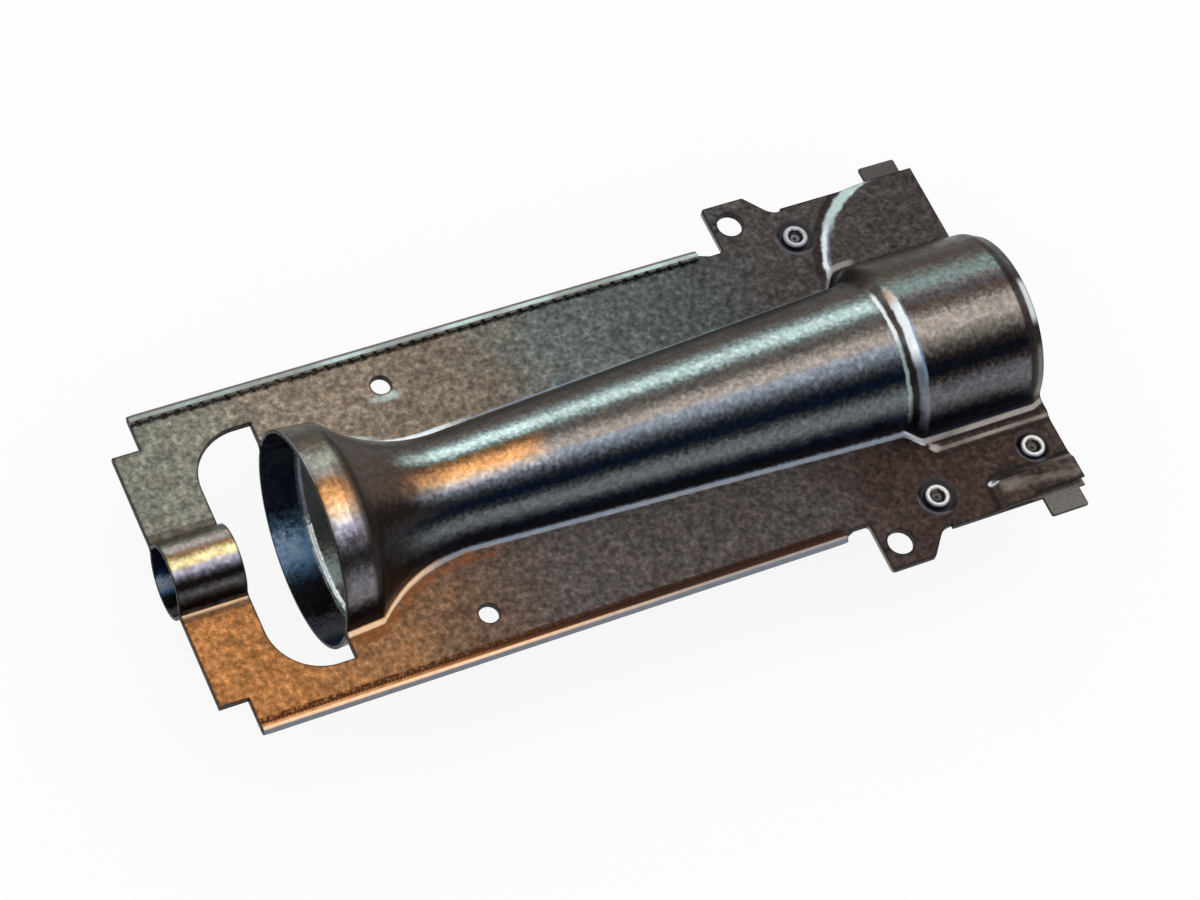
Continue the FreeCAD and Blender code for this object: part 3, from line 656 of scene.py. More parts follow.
def make_mesh(name, points, polygons, sharp=35):
    mesh = bpy.data.meshes.new(name)
    mesh.from_pydata((np.asarray(points) * MM).tolist(), [], polygons)
    mesh.validate()
    mesh.polygons.foreach_set("use_smooth", [True] * len(mesh.polygons))
    mesh.set_sharp_from_angle(angle=math.radians(sharp))
    mesh.update()
    piece = bpy.data.objects.new(name, mesh)
    bpy.context.scene.collection.objects.link(piece)
    return piece


upper = Shell(upper_forms, -1, False)
lower = Shell(lambda x, y: np.zeros_like(x + y), 1, True)
upper_piece = build_shell("upper_sheet", upper, False, blank_outline(HEM_FOLD - EDGE_PLAY, False, True))
hem_reach = HEM_FOLD + math.pi * HEM_RADIUS + HEM_LEG
lower_piece = build_shell("lower_sheet", lower, True, blank_outline(hem_reach, True, False))


def lathe(name, profile, count, centre, sharp):
    """Turns a closed profile of (radius, height) about an upright axis."""
    points, faces, n = [], [], len(profile)
    for i in range(count):
        angle = i * 2 * math.pi / count
        after = (i + 1) % count
        for j, (radius, height) in enumerate(profile):
            x, y = radius * math.cos(angle), radius * math.sin(angle)
            points.append((centre[0] + x, centre[1] + y, height))
            k = (j + 1) % n
            faces.append((i * n + j, i * n + k, after * n + k, after * n + j))
    return make_mesh(name, points, faces, sharp)


def rivet_end(seat, turned):
    """Rolled rim above its seat or, turned over, below it, and a flared mouth that is choked with dirt."""
    rim = []
    for angle in np.radians(np.linspace(*ROLL_SWEEP, 17)):
        height = ROLL_RISE * (1 + math.sin(angle))
        rim.append((ROLL_RADIUS + ROLL_REACH * math.cos(angle), height))
    mouth = [(FLARE_RADIUS, FLARE_HEIGHT), (RIVET_BORE, DIRT_RIM), (DIRT_HOLE, -DIRT_DIP)]
    return [(radius, seat + turned * height) for radius, height in rim + mouth]


def rivet_profile():
    """Closed outline of a hollow rivet, from its head in the upper dish to its tail under the lower one."""
    seat, tail = GAUGE - DISH_DEPTH, -GAUGE - DISH_DEPTH
    shank = [(RIVET_HOLE - SHANK_PLAY, tail - SHANK_LAP), (RIVET_HOLE - SHANK_PLAY, seat + SHANK_LAP)]
    return rivet_end(seat, 1) + rivet_end(tail, -1)[::-1] + shank


rivet_pieces = []
for name, (x, y, _) in RIVETS.items():
    piece = lathe(name + "_rolled", rivet_profile()[::-1], 56, (x, y), 50)
    store(piece, "ring", [math.hypot(v.co.x / MM - x, v.co.y / MM - y) for v in piece.data.vertices])
    rivet_pieces.append((piece, name))

for piece, node in [(upper_piece, "upper_shell"), (lower_piece, "lower_shell"), *rivet_pieces]:
    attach(piece, "root")
    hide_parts(node)


def colour(red, green, blue):
    """A screen colour from 0 to 255 as the linear colour that shaders take."""
    parts = [c / 255 for c in (red, green, blue)]
    return (*(c / 12.92 if c <= 0.04045 else ((c + 0.055) / 1.055) ** 2.4 for c in parts), 1)


# Palette. FROST, CYAN, PEACH and GOLD are laid mostly as painted highlights, INK and NAVY mostly as painted
# shade
INK = colour(14, 18, 25)
NAVY = colour(20, 30, 48)
DARK_BROWN = colour(38, 33, 32)
# Dark brown, laid mostly as painted shade and painted dark reflections
PEAT = colour(52, 44, 37)
BARK = colour(66, 54, 50)
UMBER = colour(76, 63, 56)
SLATE = colour(81, 75, 73)
LEAD = colour(84, 82, 86)
MOSS = colour(88, 94, 93)
IRON = colour(98, 103, 107)
HAZEL = colour(100, 80, 67)
STONE = colour(112, 106, 100)
SAGE = colour(122, 122, 112)
TAUPE = colour(130, 118, 104)
STEEL = colour(130, 138, 150)
LILAC = colour(150, 148, 164)
SAND = colour(164, 155, 148)
CYAN = colour(190, 210, 206)
FROST = colour(240, 248, 250)
SKY = colour(116, 158, 200)
# Brown of the painted shadow beside the near hem's folded leg and in its teeth's gaps
HEM_SHADOW_BROWN = colour(74, 42, 22)
BRICK = colour(138, 82, 46)
CLAY = colour(140, 103, 72)
OCHRE = colour(172, 118, 71)
ORANGE = colour(240, 176, 116)
PEACH = colour(248, 208, 168)
GOLD = colour(252, 232, 172)
WARM_TINT = (1.2, 0.98, 0.84, 1)


def fill(tree, socket, source):
    """Puts another socket or a plain value into an input."""
    if isinstance(source, bpy.types.NodeSocket):
        tree.links.new(source, socket)
    else:
        socket.default_value = source


def add_node(tree, kind, *sources, operation=None):
    """A new shader node with the sources in its first inputs."""
    made = tree.nodes.new("ShaderNode" + kind)
    if operation:
        made.operation = operation
    for socket, source in zip(made.inputs, sources):
        fill(tree, socket, source)
    return made


class Tree:
    """Short calls that build one material's node tree. Sockets and plain numbers go in the same places."""

    def __init__(self, name):
        self.material = bpy.data.materials.new(name)
        self.material.use_nodes = True
        self.tree = self.material.node_tree
        self.shader = self.tree.nodes["Principled BSDF"]
        place = self.node("TexCoord").outputs["Object"]
        self.place = self.vector("MULTIPLY", place, (1000, 1000, 1000))
        self.x, self.y, self.z = self.split(self.place)
        facing = self.split(self.node("NewGeometry").outputs["True Normal"])
        self.facing_x, self.facing_y = facing[0], facing[1]

    def node(self, kind, *sources, operation=None):
        return add_node(self.tree, kind, *sources, operation=operation)

    def split(self, source):
        return self.node("SeparateXYZ", source).outputs

    def vector(self, operation, a, b):
        return self.node("VectorMath", a, b, operation=operation).outputs[0]

    def math(self, operation, a, b=0.0):
        return self.node("Math", a, b, operation=operation).outputs[0]

    def add(self, *parts):
        total = parts[0]
        for part in parts[1:]:
            total = self.math("ADD", total, part)
        return total

    def times(self, *parts):
        total = parts[0]
        for part in parts[1:]:
            total = self.math("MULTIPLY", total, part)
        return total

    def value(self, name):
        """A number that the mesh keeps per vertex."""
        node = self.node("Attribute")
        node.attribute_name = name
        return node.outputs["Fac"]

    def noise(self, size, detail=2.0, stretch=(1, 1, 1), shift=0.0):
        """Noise from about -1 to 1 with spots of the given size in millimetres."""
        scaled = self.vector("DIVIDE", self.place, tuple(size * s for s in stretch))
        node = self.node("TexNoise", self.vector("ADD", scaled, (shift, shift * 0.7, shift * 0.3)))
        node.inputs["Scale"].default_value = 1.0
        node.inputs["Detail"].default_value = detail
        return self.rise(node.outputs["Fac"], 0.25, 0.75, -1, 1, "LINEAR")

    def rise(self, source, start, end, low=0.0, high=1.0, kind="SMOOTHSTEP"):
        """Goes from low to high as the source goes from start to end."""
        node = self.node("MapRange", source, start, end, low, high)
        node.interpolation_type = kind
        return node.outputs["Result"]

    def hump(self, source, start, end, soft):
        """1 between start and end, and 0 past a soft border on both sides."""
        return self.times(self.rise(source, start - soft, start), self.rise(source, end, end + soft, 1, 0))

    def spot(self, x, y, long, wide):
        """1 at a place on the flanges, fading to 0 at the given reach along X and Y."""
        along = self.math("POWER", self.times(self.add(self.x, -x), 1 / long), 2)
        across = self.math("POWER", self.times(self.add(self.y, -y), 1 / wide), 2)
        return self.rise(self.add(along, across), 1, 0)

    def mix(self, share, a, b, kind="MIX"):
        node = self.node("Mix")
        node.data_type = "RGBA"
        node.blend_type = kind
        for place, source in (("Factor", share), (6, a), (7, b)):
            fill(self.tree, node.inputs[place], source)
        return node.outputs[2]

    def ramp(self, source, stops):
        """Colours at places of the source. Stops are (place, colour, share of its brightness)."""
        low, high = stops[0][0], stops[-1][0]
        node = self.node("ValToRGB", self.rise(source, low, high, kind="LINEAR"))
        elements = node.color_ramp.elements
        elements.remove(elements[1])
        for i, (place, tone, *share) in enumerate(stops):
            element = elements.new((place - low) / (high - low)) if i else elements[0]
            element.color = (*(c * (share[0] if share else 1) for c in tone[:3]), 1)
        return node.outputs["Color"]

    def scaled(self, tone, share):
        node = self.node("VectorMath", tone, operation="SCALE")
        fill(self.tree, node.inputs["Scale"], share)
        return node.outputs[0]

    def lines(self, tone, lines):
        """Lays lines over a tone. Each is its colour and the factors of its share."""
        for line, *factors in lines:
            tone = self.mix(self.times(*factors), tone, line)
        return tone

    def bump(self, height, depth):
        """Relief of the height, from 0 to 1, with a depth in millimetres."""
        node = self.node("Bump", 1.0)
        node.inputs["Distance"].default_value = depth * MM
        fill(self.tree, node.inputs["Height"], height)
        fill(self.tree, self.shader.inputs["Normal"], node.outputs["Normal"])

    def finish(self, tone, roughness, metal=1.0):
        for name, source in (("Base Color", tone), ("Roughness", roughness), ("Metallic", metal)):
            fill(self.tree, self.shader.inputs[name], source)
        return self.material


# Painted reflections round the tube, in bright and dark streaks: degrees from the far side over the top to
# the near side, colour, share of its brightness
DARK_SIDE = [
    (116, STEEL, 0.58), (120, STEEL, 0.24), (124, STEEL, 0.07), (128, NAVY, 0.5), (133, NAVY, 0.5),
    (137, IRON, 0.2), (140, IRON, 0.58), (144, IRON), (150, IRON, 1.1), (154, IRON, 0.85),
    (158, STEEL, 0.28), (162, NAVY, 2), (167, NAVY, 1.4), (173, NAVY, 1.2), (176, STEEL, 0.2), (180, STEEL),
]
COLLAR_TONES = [
    (0, UMBER, 0.7), (44, UMBER, 0.85), (54, SAGE, 0.55), (60, SAGE, 0.95), (66, SAND), (72, SAND, 0.9),
    (78, TAUPE, 0.85), (83, ORANGE, 0.28), (87.5, GOLD, 0.4), (92, GOLD, 0.85), (96, GOLD), (100, GOLD, 0.8),
    (104, SAND, 1.6), (109, LILAC, 1.3), (113, LILAC), (117, LILAC, 0.45), (121, LILAC, 0.15),
    (126, DARK_BROWN, 0.4), (133, DARK_BROWN, 0.4), (138, LEAD, 0.5), (143, LEAD, 1.05), (148, LEAD, 0.75),
    (153, LEAD, 0.4), (160, DARK_BROWN, 0.5), (168, DARK_BROWN, 0.35), (176, UMBER, 0.6), (180, TAUPE, 0.7),
]
BAND_TONES = [
    (0, TAUPE, 0.65), (36, TAUPE, 0.65), (47, PEAT), (58, PEAT, 1.4), (66, TAUPE, 0.5), (73, SAGE),
    (81, SAGE, 1.4), (86, SAND, 0.75), (92, ORANGE, 0.42), (96, ORANGE, 0.7), (101, ORANGE),
    (107, PEACH, 1.1), (112, SAND, 2.2), (116, LILAC, 1.9), (120, LILAC, 1.1), (124, LILAC, 0.42),
    (128, LILAC, 0.13), (133, DARK_BROWN, 0.9), (137, LEAD, 0.4), (141, LEAD, 1.1), (147, LEAD, 1.9),
    (156, LEAD, 1.8), (161, LEAD, 0.5), (164, NAVY, 0.6), (180, NAVY, 0.6),
]
FLARE_TONES = [
    (0, SAGE, 1.3), (43, SAGE, 1.3), (50, SAGE, 0.5), (56, PEAT, 0.5), (64, UMBER, 0.7), (80, UMBER, 0.9),
    (98, UMBER, 1.1), (105, UMBER, 0.9), (112, UMBER, 0.32), (120, PEAT, 0.32), (127, DARK_BROWN, 1.5),
    (136, LEAD, 0.5), (142, DARK_BROWN, 1.9), (150, DARK_BROWN, 0.7), (158, INK, 0.3), (180, INK, 0.1),
]
THROAT_TONES = [
    (0, PEAT, 0.2), (44, PEAT, 0.3), (56, PEAT, 1.5), (63, STONE, 0.65), (68, CYAN, 0.32), (75, CYAN),
    (79, CYAN, 0.9), (84, CYAN, 0.25), (88, ORANGE, 0.17), (92, ORANGE, 0.37), (96, ORANGE, 0.76),
    (101, ORANGE, 0.95), (105, PEACH, 0.8), (109, SAND, 1.45), (113, LILAC, 1.1), *DARK_SIDE,
]
TAPER_TONES = [
    (0, PEAT, 0.3), (44, PEAT, 0.4), (56, PEAT, 1.3), (62, STONE, 0.55), (68, CYAN, 0.32), (74, CYAN, 0.72),
    (78, CYAN, 0.7), (81, CYAN, 0.5), (84, CYAN, 0.22), (88, STONE, 0.58), (92, STONE, 0.52),
    (96, SAND, 0.44), (100, SAND, 0.75), (105, SAND, 0.95), (109, STEEL, 1.25), (112, STEEL), *DARK_SIDE,
]
BARREL_TONES = [
    (0, UMBER, 0.3), (50, UMBER, 0.5), (62, UMBER, 0.75), (69, SAGE, 0.5), (75, CYAN, 0.28),
    (81, CYAN, 0.32), (84, STONE, 0.85), (88, LEAD, 0.85), (93, UMBER, 1.2), (97, STONE, 0.85),
    (100, SAND, 0.75), (104, SAND, 1.05), (109, SAND), (113, STONE, 1.4), (117, STONE, 0.9),
    (120, STONE, 0.38), (124, DARK_BROWN, 0.9), (128, INK, 0.8), (133, INK, 0.8), (137, DARK_BROWN, 1.4),
    (140, LEAD, 0.8), (145, LEAD, 1.4), (151, LEAD, 1.4), (156, LEAD, 0.9), (160, LEAD, 0.35),
    (164, NAVY, 0.8), (180, NAVY, 0.8),
]


def tube_colour(t, around):
    """Painted reflections in bright and dark streaks along the tube, from the collar to the barrel."""
    collar, band, flare, throat, taper, barrel = (
        t.ramp(around, stops)
        for stops in (COLLAR_TONES, BAND_TONES, FLARE_TONES, THROAT_TONES, TAPER_TONES, BARREL_TONES)
    )
    wavy = t.add(t.x, t.times(t.noise(4, 1), 2))
    tone = t.mix(t.rise(t.x, COLLAR_LENGTH, MOUTH), collar, band)
    tone = t.mix(t.rise(t.x, BAND_END - 1.8, BAND_END + 0.2), tone, flare)
    tone = t.mix(t.rise(wavy, 49, 65), tone, t.mix(t.rise(around, 122, 130), throat, taper))
    tone = t.mix(t.times(t.rise(wavy, 42, 56), t.rise(around, 124, 134)), tone, taper)
    tone = t.mix(t.rise(wavy, 78, 88), tone, taper)
    return t.mix(t.rise(t.x, BARREL_START - 1.5, BARREL_START + 0.3), tone, barrel)


def flat_colour(t):
    """Mottled sheet: a painted warm reflection in ochre near the inlet on the near side, greenish grey on
    the far side, brown beyond.
    """
    x = t.add(t.x, t.times(t.noise(9, 2), 5))
    far = t.ramp(x, [
        (0, SAGE), (14, SAGE), (40, TAUPE, 1.06), (60, TAUPE, 0.88), (80, TAUPE, 0.73), (100, MOSS, 1.15),
        (120, MOSS, 0.9), (140, MOSS, 0.66), (158, SLATE, 0.78), (LENGTH, SLATE, 0.68),
    ])
    near = t.ramp(x, [
        (0, OCHRE), (16, OCHRE, 0.92), (40, CLAY), (58, HAZEL), (80, SLATE), (110, SLATE, 0.88),
        (140, SLATE, 0.8), (158, BARK, 0.9), (LENGTH, BARK, 0.95),
    ])
    return t.mix(t.rise(t.y, 3, -3), far, near)


def tube_lines(t, coarse):
    """Painted highlights and painted shade in lines round the tube."""
    around = t.value("around")
    mouth, bell, step, lip = (t.add(t.x, -place) for place in (MOUTH, BAND_END, TAPER_END, LIP_START))
    wavy = t.add(step, t.times(coarse, 0.15))
    specks = t.rise(t.noise(2.0, 2, shift=3), -0.5, 0.5)
    return [
        # Painted shade in the crease behind the bell's band, darker margins beside it and towards the rim,
        # dark specks, a painted highlight on the rim
        (DARK_BROWN, t.hump(bell, -0.7, 0.5, 1.2), t.hump(around, 30, 162, 9), 0.75),
        (UMBER, t.hump(bell, -2.8, -1.0, 0.9), t.hump(around, 84, 122, 8), 0.55),
        (DARK_BROWN, t.hump(mouth, 3.0, 5.5, 1.6), t.hump(around, 119, 124, 4), specks, 0.6),
        (DARK_BROWN, t.rise(mouth, 2.0, 0.2), t.hump(around, 84, 150, 9), t.rise(mouth, -2, 0), 0.45),
        (PEAT, t.hump(bell, 1.2, 2.0, 0.5), t.hump(around, 112, 146, 9), 0.9),
        (FROST, t.hump(mouth, -0.1, 0.2, 0.2), t.hump(around, 52, 88, 6), 0.8),
        # Step from the taper to the barrel: painted shade on its slope, painted highlights at its foot and
        # on its shoulder
        (BARK, t.hump(step, 0.6, 1.6, 0.4), t.hump(around, 68, 104, 9), 0.85),
        (DARK_BROWN, t.hump(step, 0.6, 1.6, 0.4), t.hump(around, 112, 165, 8), 0.85),
        (FROST, t.hump(wavy, -0.1, 0.1, 0.4), t.hump(around, 74, 104, 9), 0.95),
        (CYAN, t.hump(wavy, -0.1, 0.1, 0.4), t.hump(around, 112, 158, 12), 0.5),
        (STEEL, t.hump(wavy, 1.7, 3.3, 0.4), t.hump(around, 92, 160, 18), 0.5),
        (PEACH, t.hump(wavy, 1.7, 2.6, 0.5), t.hump(around, 79, 84, 8), 0.45),
        (FROST, t.hump(wavy, 1.6, 2.8, 0.5), t.hump(around, 91, 114, 14), 0.97),
        (SKY, t.hump(wavy, 3.0, 3.4, 0.4), t.hump(around, 102, 126, 16), 0.4),
        # Lip at the flame end: painted shade where it turns in, painted highlights and dark reflections on
        # it
        (DARK_BROWN, t.hump(lip, -0.7, 0.5, 0.6), t.hump(around, 20, 172, 8), 0.85),
        (DARK_BROWN, t.rise(lip, 0.4, 0.9), t.hump(around, 40, 172, 8), 0.7),
        (FROST, t.rise(lip, 0.6, 1.4), t.hump(around, 18, 40, 9), 0.85),
        (FROST, t.rise(lip, 0.8, 1.5), t.hump(around, 99, 116, 8), 0.7),
        (STONE, t.rise(lip, 0.8, 1.5), t.hump(around, 140, 172, 8), 0.8),
    ]


def fan_lines(t, coarse, far, streaky):
    """Painted shade at the foot and painted highlights on the slope of the carry-over form, and by the step.
    """
    fan, beside = t.value("fan"), t.value("beside")
    flat = t.times(t.rise(beside, -0.4, 0.3), far)
    broken = t.add(fan, t.times(coarse, 0.35))
    at_step = t.times(t.hump(t.x, 170, 175, 2.5), t.rise(t.z, 0.2, 0.6))
    return [
        (DARK_BROWN, t.hump(fan, -1.0, 0.1, 0.7), flat, 0.75),
        (STEEL, t.hump(broken, 1.0, 2.0, 0.7), flat, 0.75),
        (FROST, t.hump(broken, 1.1, 1.4, 0.7), flat, t.hump(t.y, 26, 34, 5), 0.8),
        (CYAN, t.hump(broken, 1.0, 2.3, 1.0), flat, t.rise(t.y, 33, 39), 0.8),
        (SAND, t.hump(beside, 0.1, 1.0, 0.5), far, at_step, streaky, 0.6),
    ]


def wing_lines(t, near, streaky):
    """Painted shade and painted highlights on the ridge beside the barrel, the overlap pocket and the rivet
    dishes.
    """
    ridge, pocket, dish, beside = (t.value(name) for name in ("ridge", "pocket", "dish", "beside"))
    flat = t.rise(beside, -0.4, 0.3)
    shine = t.rise(t.noise(4, 2, (3, 1, 1), shift=4), -0.4, 0.6)
    pocket_edge = t.times(near, t.rise(t.y, -39, -37.5))
    return [
        # Painted shade on the ridge's top and foot, painted highlights on its slope and by the barrel's step
        (DARK_BROWN, t.rise(ridge, 1.4, 1.9), flat, near, 0.75),
        (DARK_BROWN, t.hump(ridge, -0.8, -0.1, 0.4), flat, near, 0.6),
        (SAND, t.hump(ridge, 0.5, 0.9, 0.35), flat, near, streaky, 0.8),
        (SAND, t.spot(172.2, -25.5, 2.2, 1.3), t.hump(ridge, 0.1, 1.4, 0.4), near, 0.95),
        (FROST, t.hump(beside, -0.8, 0.1, 0.4), near, t.hump(t.x, 168.6, 170.2, 1.5), 0.85),
        # Painted shade at the pocket's foot, painted sheen and highlights on the pocket
        (DARK_BROWN, t.hump(pocket, -0.9, -0.1, 0.5), flat, near, 0.85),
        (SAND, t.rise(pocket, 1.0, 3.0), near, shine, 0.5),
        (SAND, t.hump(pocket, 0.3, 0.9, 0.4), pocket_edge, t.hump(t.x, 192, 202, 3), 0.35),
        (SAND, t.hump(pocket, 0.3, 0.8, 0.4), pocket_edge, t.hump(t.x, 180, 190, 3), 0.75),
        (FROST, t.spot(181.2, -37.7, 1.5, 0.9), near, t.rise(t.z, 0.2, 0.6), 0.9),
        # Dishes painted dark, with a painted highlight on the dish walls that face +X and +Y
        (INK, t.rise(dish, -0.1, 1.1), flat, 0.88),
        (LILAC, t.hump(dish, 0.3, 1.1, 0.4), t.rise(t.add(t.facing_x, t.facing_y), 0.2, 0.6), 0.7),
    ]


def bend_lines(t, coarse, near, far, streaky):
    """Painted highlights and shade along the bend between tube and flange, a painted warm reflection beside
    it, the dark cut outline, and a pale patch by the far pin hole.
    """
    x, beside, edge = t.x, t.value("beside"), t.value("edge")
    warm_reflection = t.times(t.hump(x, 36, 64, 9), t.rise(coarse, -0.7, 0.4, 0.2, 0.75))
    pale_patch = t.times(t.rise(edge, 0.2, 0.7), t.rise(coarse, -1.2, 0.3), t.rise(t.z, 0.2, 0.6))
    return [
        # Painted shade on the tube above the near bend, painted highlights along both bends
        (DARK_BROWN, t.hump(beside, -2.4, -1.2, 0.6), near, t.rise(x, 40, 44), 0.5),
        (SAND, t.hump(beside, -0.8, -0.3, 0.35), near, t.rise(x, 168, 172), streaky, 0.9),
        (STEEL, t.hump(beside, -0.5, -0.15, 0.35), near, t.hump(x, 46, 168, 6), 0.95),
        (PEACH, t.hump(beside, -0.9, -0.3, 0.35), near, t.hump(x, 29, 48, 12), 0.97),
        (PEACH, t.hump(beside, -0.2, 0.1, 0.3), near, t.hump(x, -1, 17, 1), 0.97),
        (STEEL, t.hump(beside, -0.1, 0.4, 0.3), far, t.hump(x, 40, 170, 4), t.rise(x, 90, 130, 0.75, 0.4)),
        (FROST, t.hump(beside, -0.2, 0.7, 0.5), far, t.hump(x, 46, 66, 12), 0.8),
        (CYAN, t.hump(beside, 0.2, 1.8, 0.8), far, t.hump(x, 43, 52, 5), 0.6),
        (UMBER, t.hump(beside, 0.1, 1.2, 0.5), t.rise(x, COLLAR_LENGTH + 1.2, COLLAR_LENGTH + 0.2), 0.6),
        # Painted warm reflection beside the near bend, between the bell and the throat
        (BRICK, t.hump(beside, 0.3, 1.9, 1.0), near, warm_reflection),
        (DARK_BROWN, t.rise(edge, 0.6, 0.15), t.rise(t.value("hem"), 0.5, -0.5), 0.75),
        # Pale patch below the far pin hole, clear of its edge
        (CYAN, t.spot(61.4, 26.6, 4.6, 1.5), pale_patch, 0.75),
    ]


def hem_lines(t, coarse, near, far):
    """Folded hems, by distance past the fold: painted highlight on the top edge, grey side, folded leg and
    crimped teeth, with painted shadow beside the leg and in the teeth's gaps.
    """
    x, hem = t.x, t.value("hem")
    past_leg = t.add(t.math("ABSOLUTE", t.y), HEM_LEG - HEM_FOLD)
    along = t.times(t.hump(x, TONGUE_LENGTH, HEM_END - 1, 0.5), t.rise(t.z, 0.2, 0.6))
    uneven = t.rise(t.noise(2.5, 1, shift=6), -0.6, 0.2, 0.5)
    ragged = t.rise(t.noise(0.8, 2, shift=6), -0.35, 0.15, t.rise(x, 20, 90, 0.25, 0.7))
    dappled = t.rise(t.noise(14, 1, shift=2), -0.6, 0.5, 0.35, 0.85)
    # Masks of the painted shadow in the gaps between the crimped teeth
    gaps = {}
    for name, (pitch, share, _) in TEETH.items():
        turn = t.math("FRACT", t.times(t.add(x, -TONGUE_LENGTH - TEETH_MARGIN), 1 / pitch))
        gaps[name] = t.rise(turn, share, share + 0.15, 1, 0.25)
    return [
        # Painted shade over the fold, painted highlights on its top edge and on the leg
        (DARK_BROWN, t.rise(hem, -0.1, 0.3), 0.9),
        (STEEL, t.hump(hem, 2.0, 3.2, 0.25), near, 0.75),
        (INK, t.hump(hem, 2.2, 2.65, 0.2), far, 0.85),
        (STONE, t.rise(hem, 2.75, 3.0), far, 0.9),
        (BRICK, t.rise(hem, 3.6, 3.9), near, t.rise(x, 100, 30, 0.15, 0.9)),
        (DARK_BROWN, t.rise(hem, 4.0, 4.4), near, t.rise(x, 40, 90), 0.85),
        (ORANGE, t.hump(hem, 3.8, 4.3, 0.25), near, t.rise(x, 70, 15), t.rise(coarse, -0.8, 0.4, 0.3), 0.6),
        (SAND, t.hump(hem, 3.25, 3.6, 0.25), near, 0.95),
        (PEACH, t.hump(hem, 3.25, 3.65, 0.3), near, t.rise(x, 120, 50), 0.95),
        (CYAN, t.hump(hem, 3.8, 4.4, 0.3), far, dappled),
        # Painted shadow in the gaps between the teeth and beside the folded leg
        (INK, t.rise(hem, 4.5, 4.9), far, gaps["far"], uneven, 0.8),
        (HEM_SHADOW_BROWN, t.rise(hem, 4.2, 4.6), near, gaps["near"], 0.9),
        (HEM_SHADOW_BROWN, t.hump(past_leg, -0.9, 0.1, 0.4), near, along, ragged, 0.95),
        (DARK_BROWN, t.hump(past_leg, -0.8, 0.1, 0.35), near, along, ragged, t.rise(x, 50, 110, 0, 0.8)),
        (INK, t.hump(past_leg, -0.5, 0.1, 0.3), far, along, gaps["far"], uneven, 0.85),
    ]


def sheet_lines(t, coarse):
    """All the lines on the sheet's outer face, mostly painted highlights, shade and reflections, in the
    order in which they are laid.
    """
    near, far = t.rise(t.y, 0.5, -0.5), t.rise(t.y, -0.5, 0.5)
    streaky = t.rise(t.noise(5, 2, (3, 1, 1), shift=7), -0.6, 0.3, 0.5)
    lines = tube_lines(t, coarse) + fan_lines(t, coarse, far, streaky) + wing_lines(t, near, streaky)
    return lines + bend_lines(t, coarse, near, far, streaky) + hem_lines(t, coarse, near, far)


def sheet_outside():
    """Aluminised sheet, spangled and tarnished, with painted reflections in streaks along the tube and
    painted highlights and shade in lines.
    """
    t = Tree("aluminised_sheet")
    coarse, fine, grain = t.noise(2.4, 2), t.noise(1.2, 2, shift=9), t.noise(0.5, 1, shift=21)
    border = t.add(t.times(t.noise(1.0, 2, shift=40), 2.4), t.times(grain, 0.6))
    beside = t.value("beside")
    on_flat = t.rise(beside, -1, 0.5)
    # Painted reflections in bright and dark streaks round the tube
    streaks = tube_colour(t, t.add(t.value("around"), border))
    tone = t.mix(t.rise(beside, 0.4, -0.4), flat_colour(t), streaks)
    warm = t.times(t.rise(t.noise(1.6, 2, shift=30), -0.6, 0.9), t.rise(on_flat, 0, 1, 0.05, 0.22))
    tone = t.mix(warm, tone, WARM_TINT, "MULTIPLY")
    spots = t.add(t.times(fine, 0.75), t.times(coarse, 0.35), t.times(grain, 0.2))
    mottle = t.math("POWER", 2, t.times(spots, t.rise(on_flat, 0, 1, 0.55, 1.0, "LINEAR")))
    tone = t.lines(t.scaled(tone, mottle), sheet_lines(t, coarse))
    tone = t.scaled(tone, t.add(1, t.times(spots, 0.12)))
    t.bump(t.add(t.times(fine, 0.5), t.times(coarse, 0.5)), 0.03)
    metal = t.rise(t.value("dish"), -0.3, 0.3, 1, 0.35)
    return t.finish(tone, t.rise(coarse, -1, 1, 0.28, 0.44), metal)


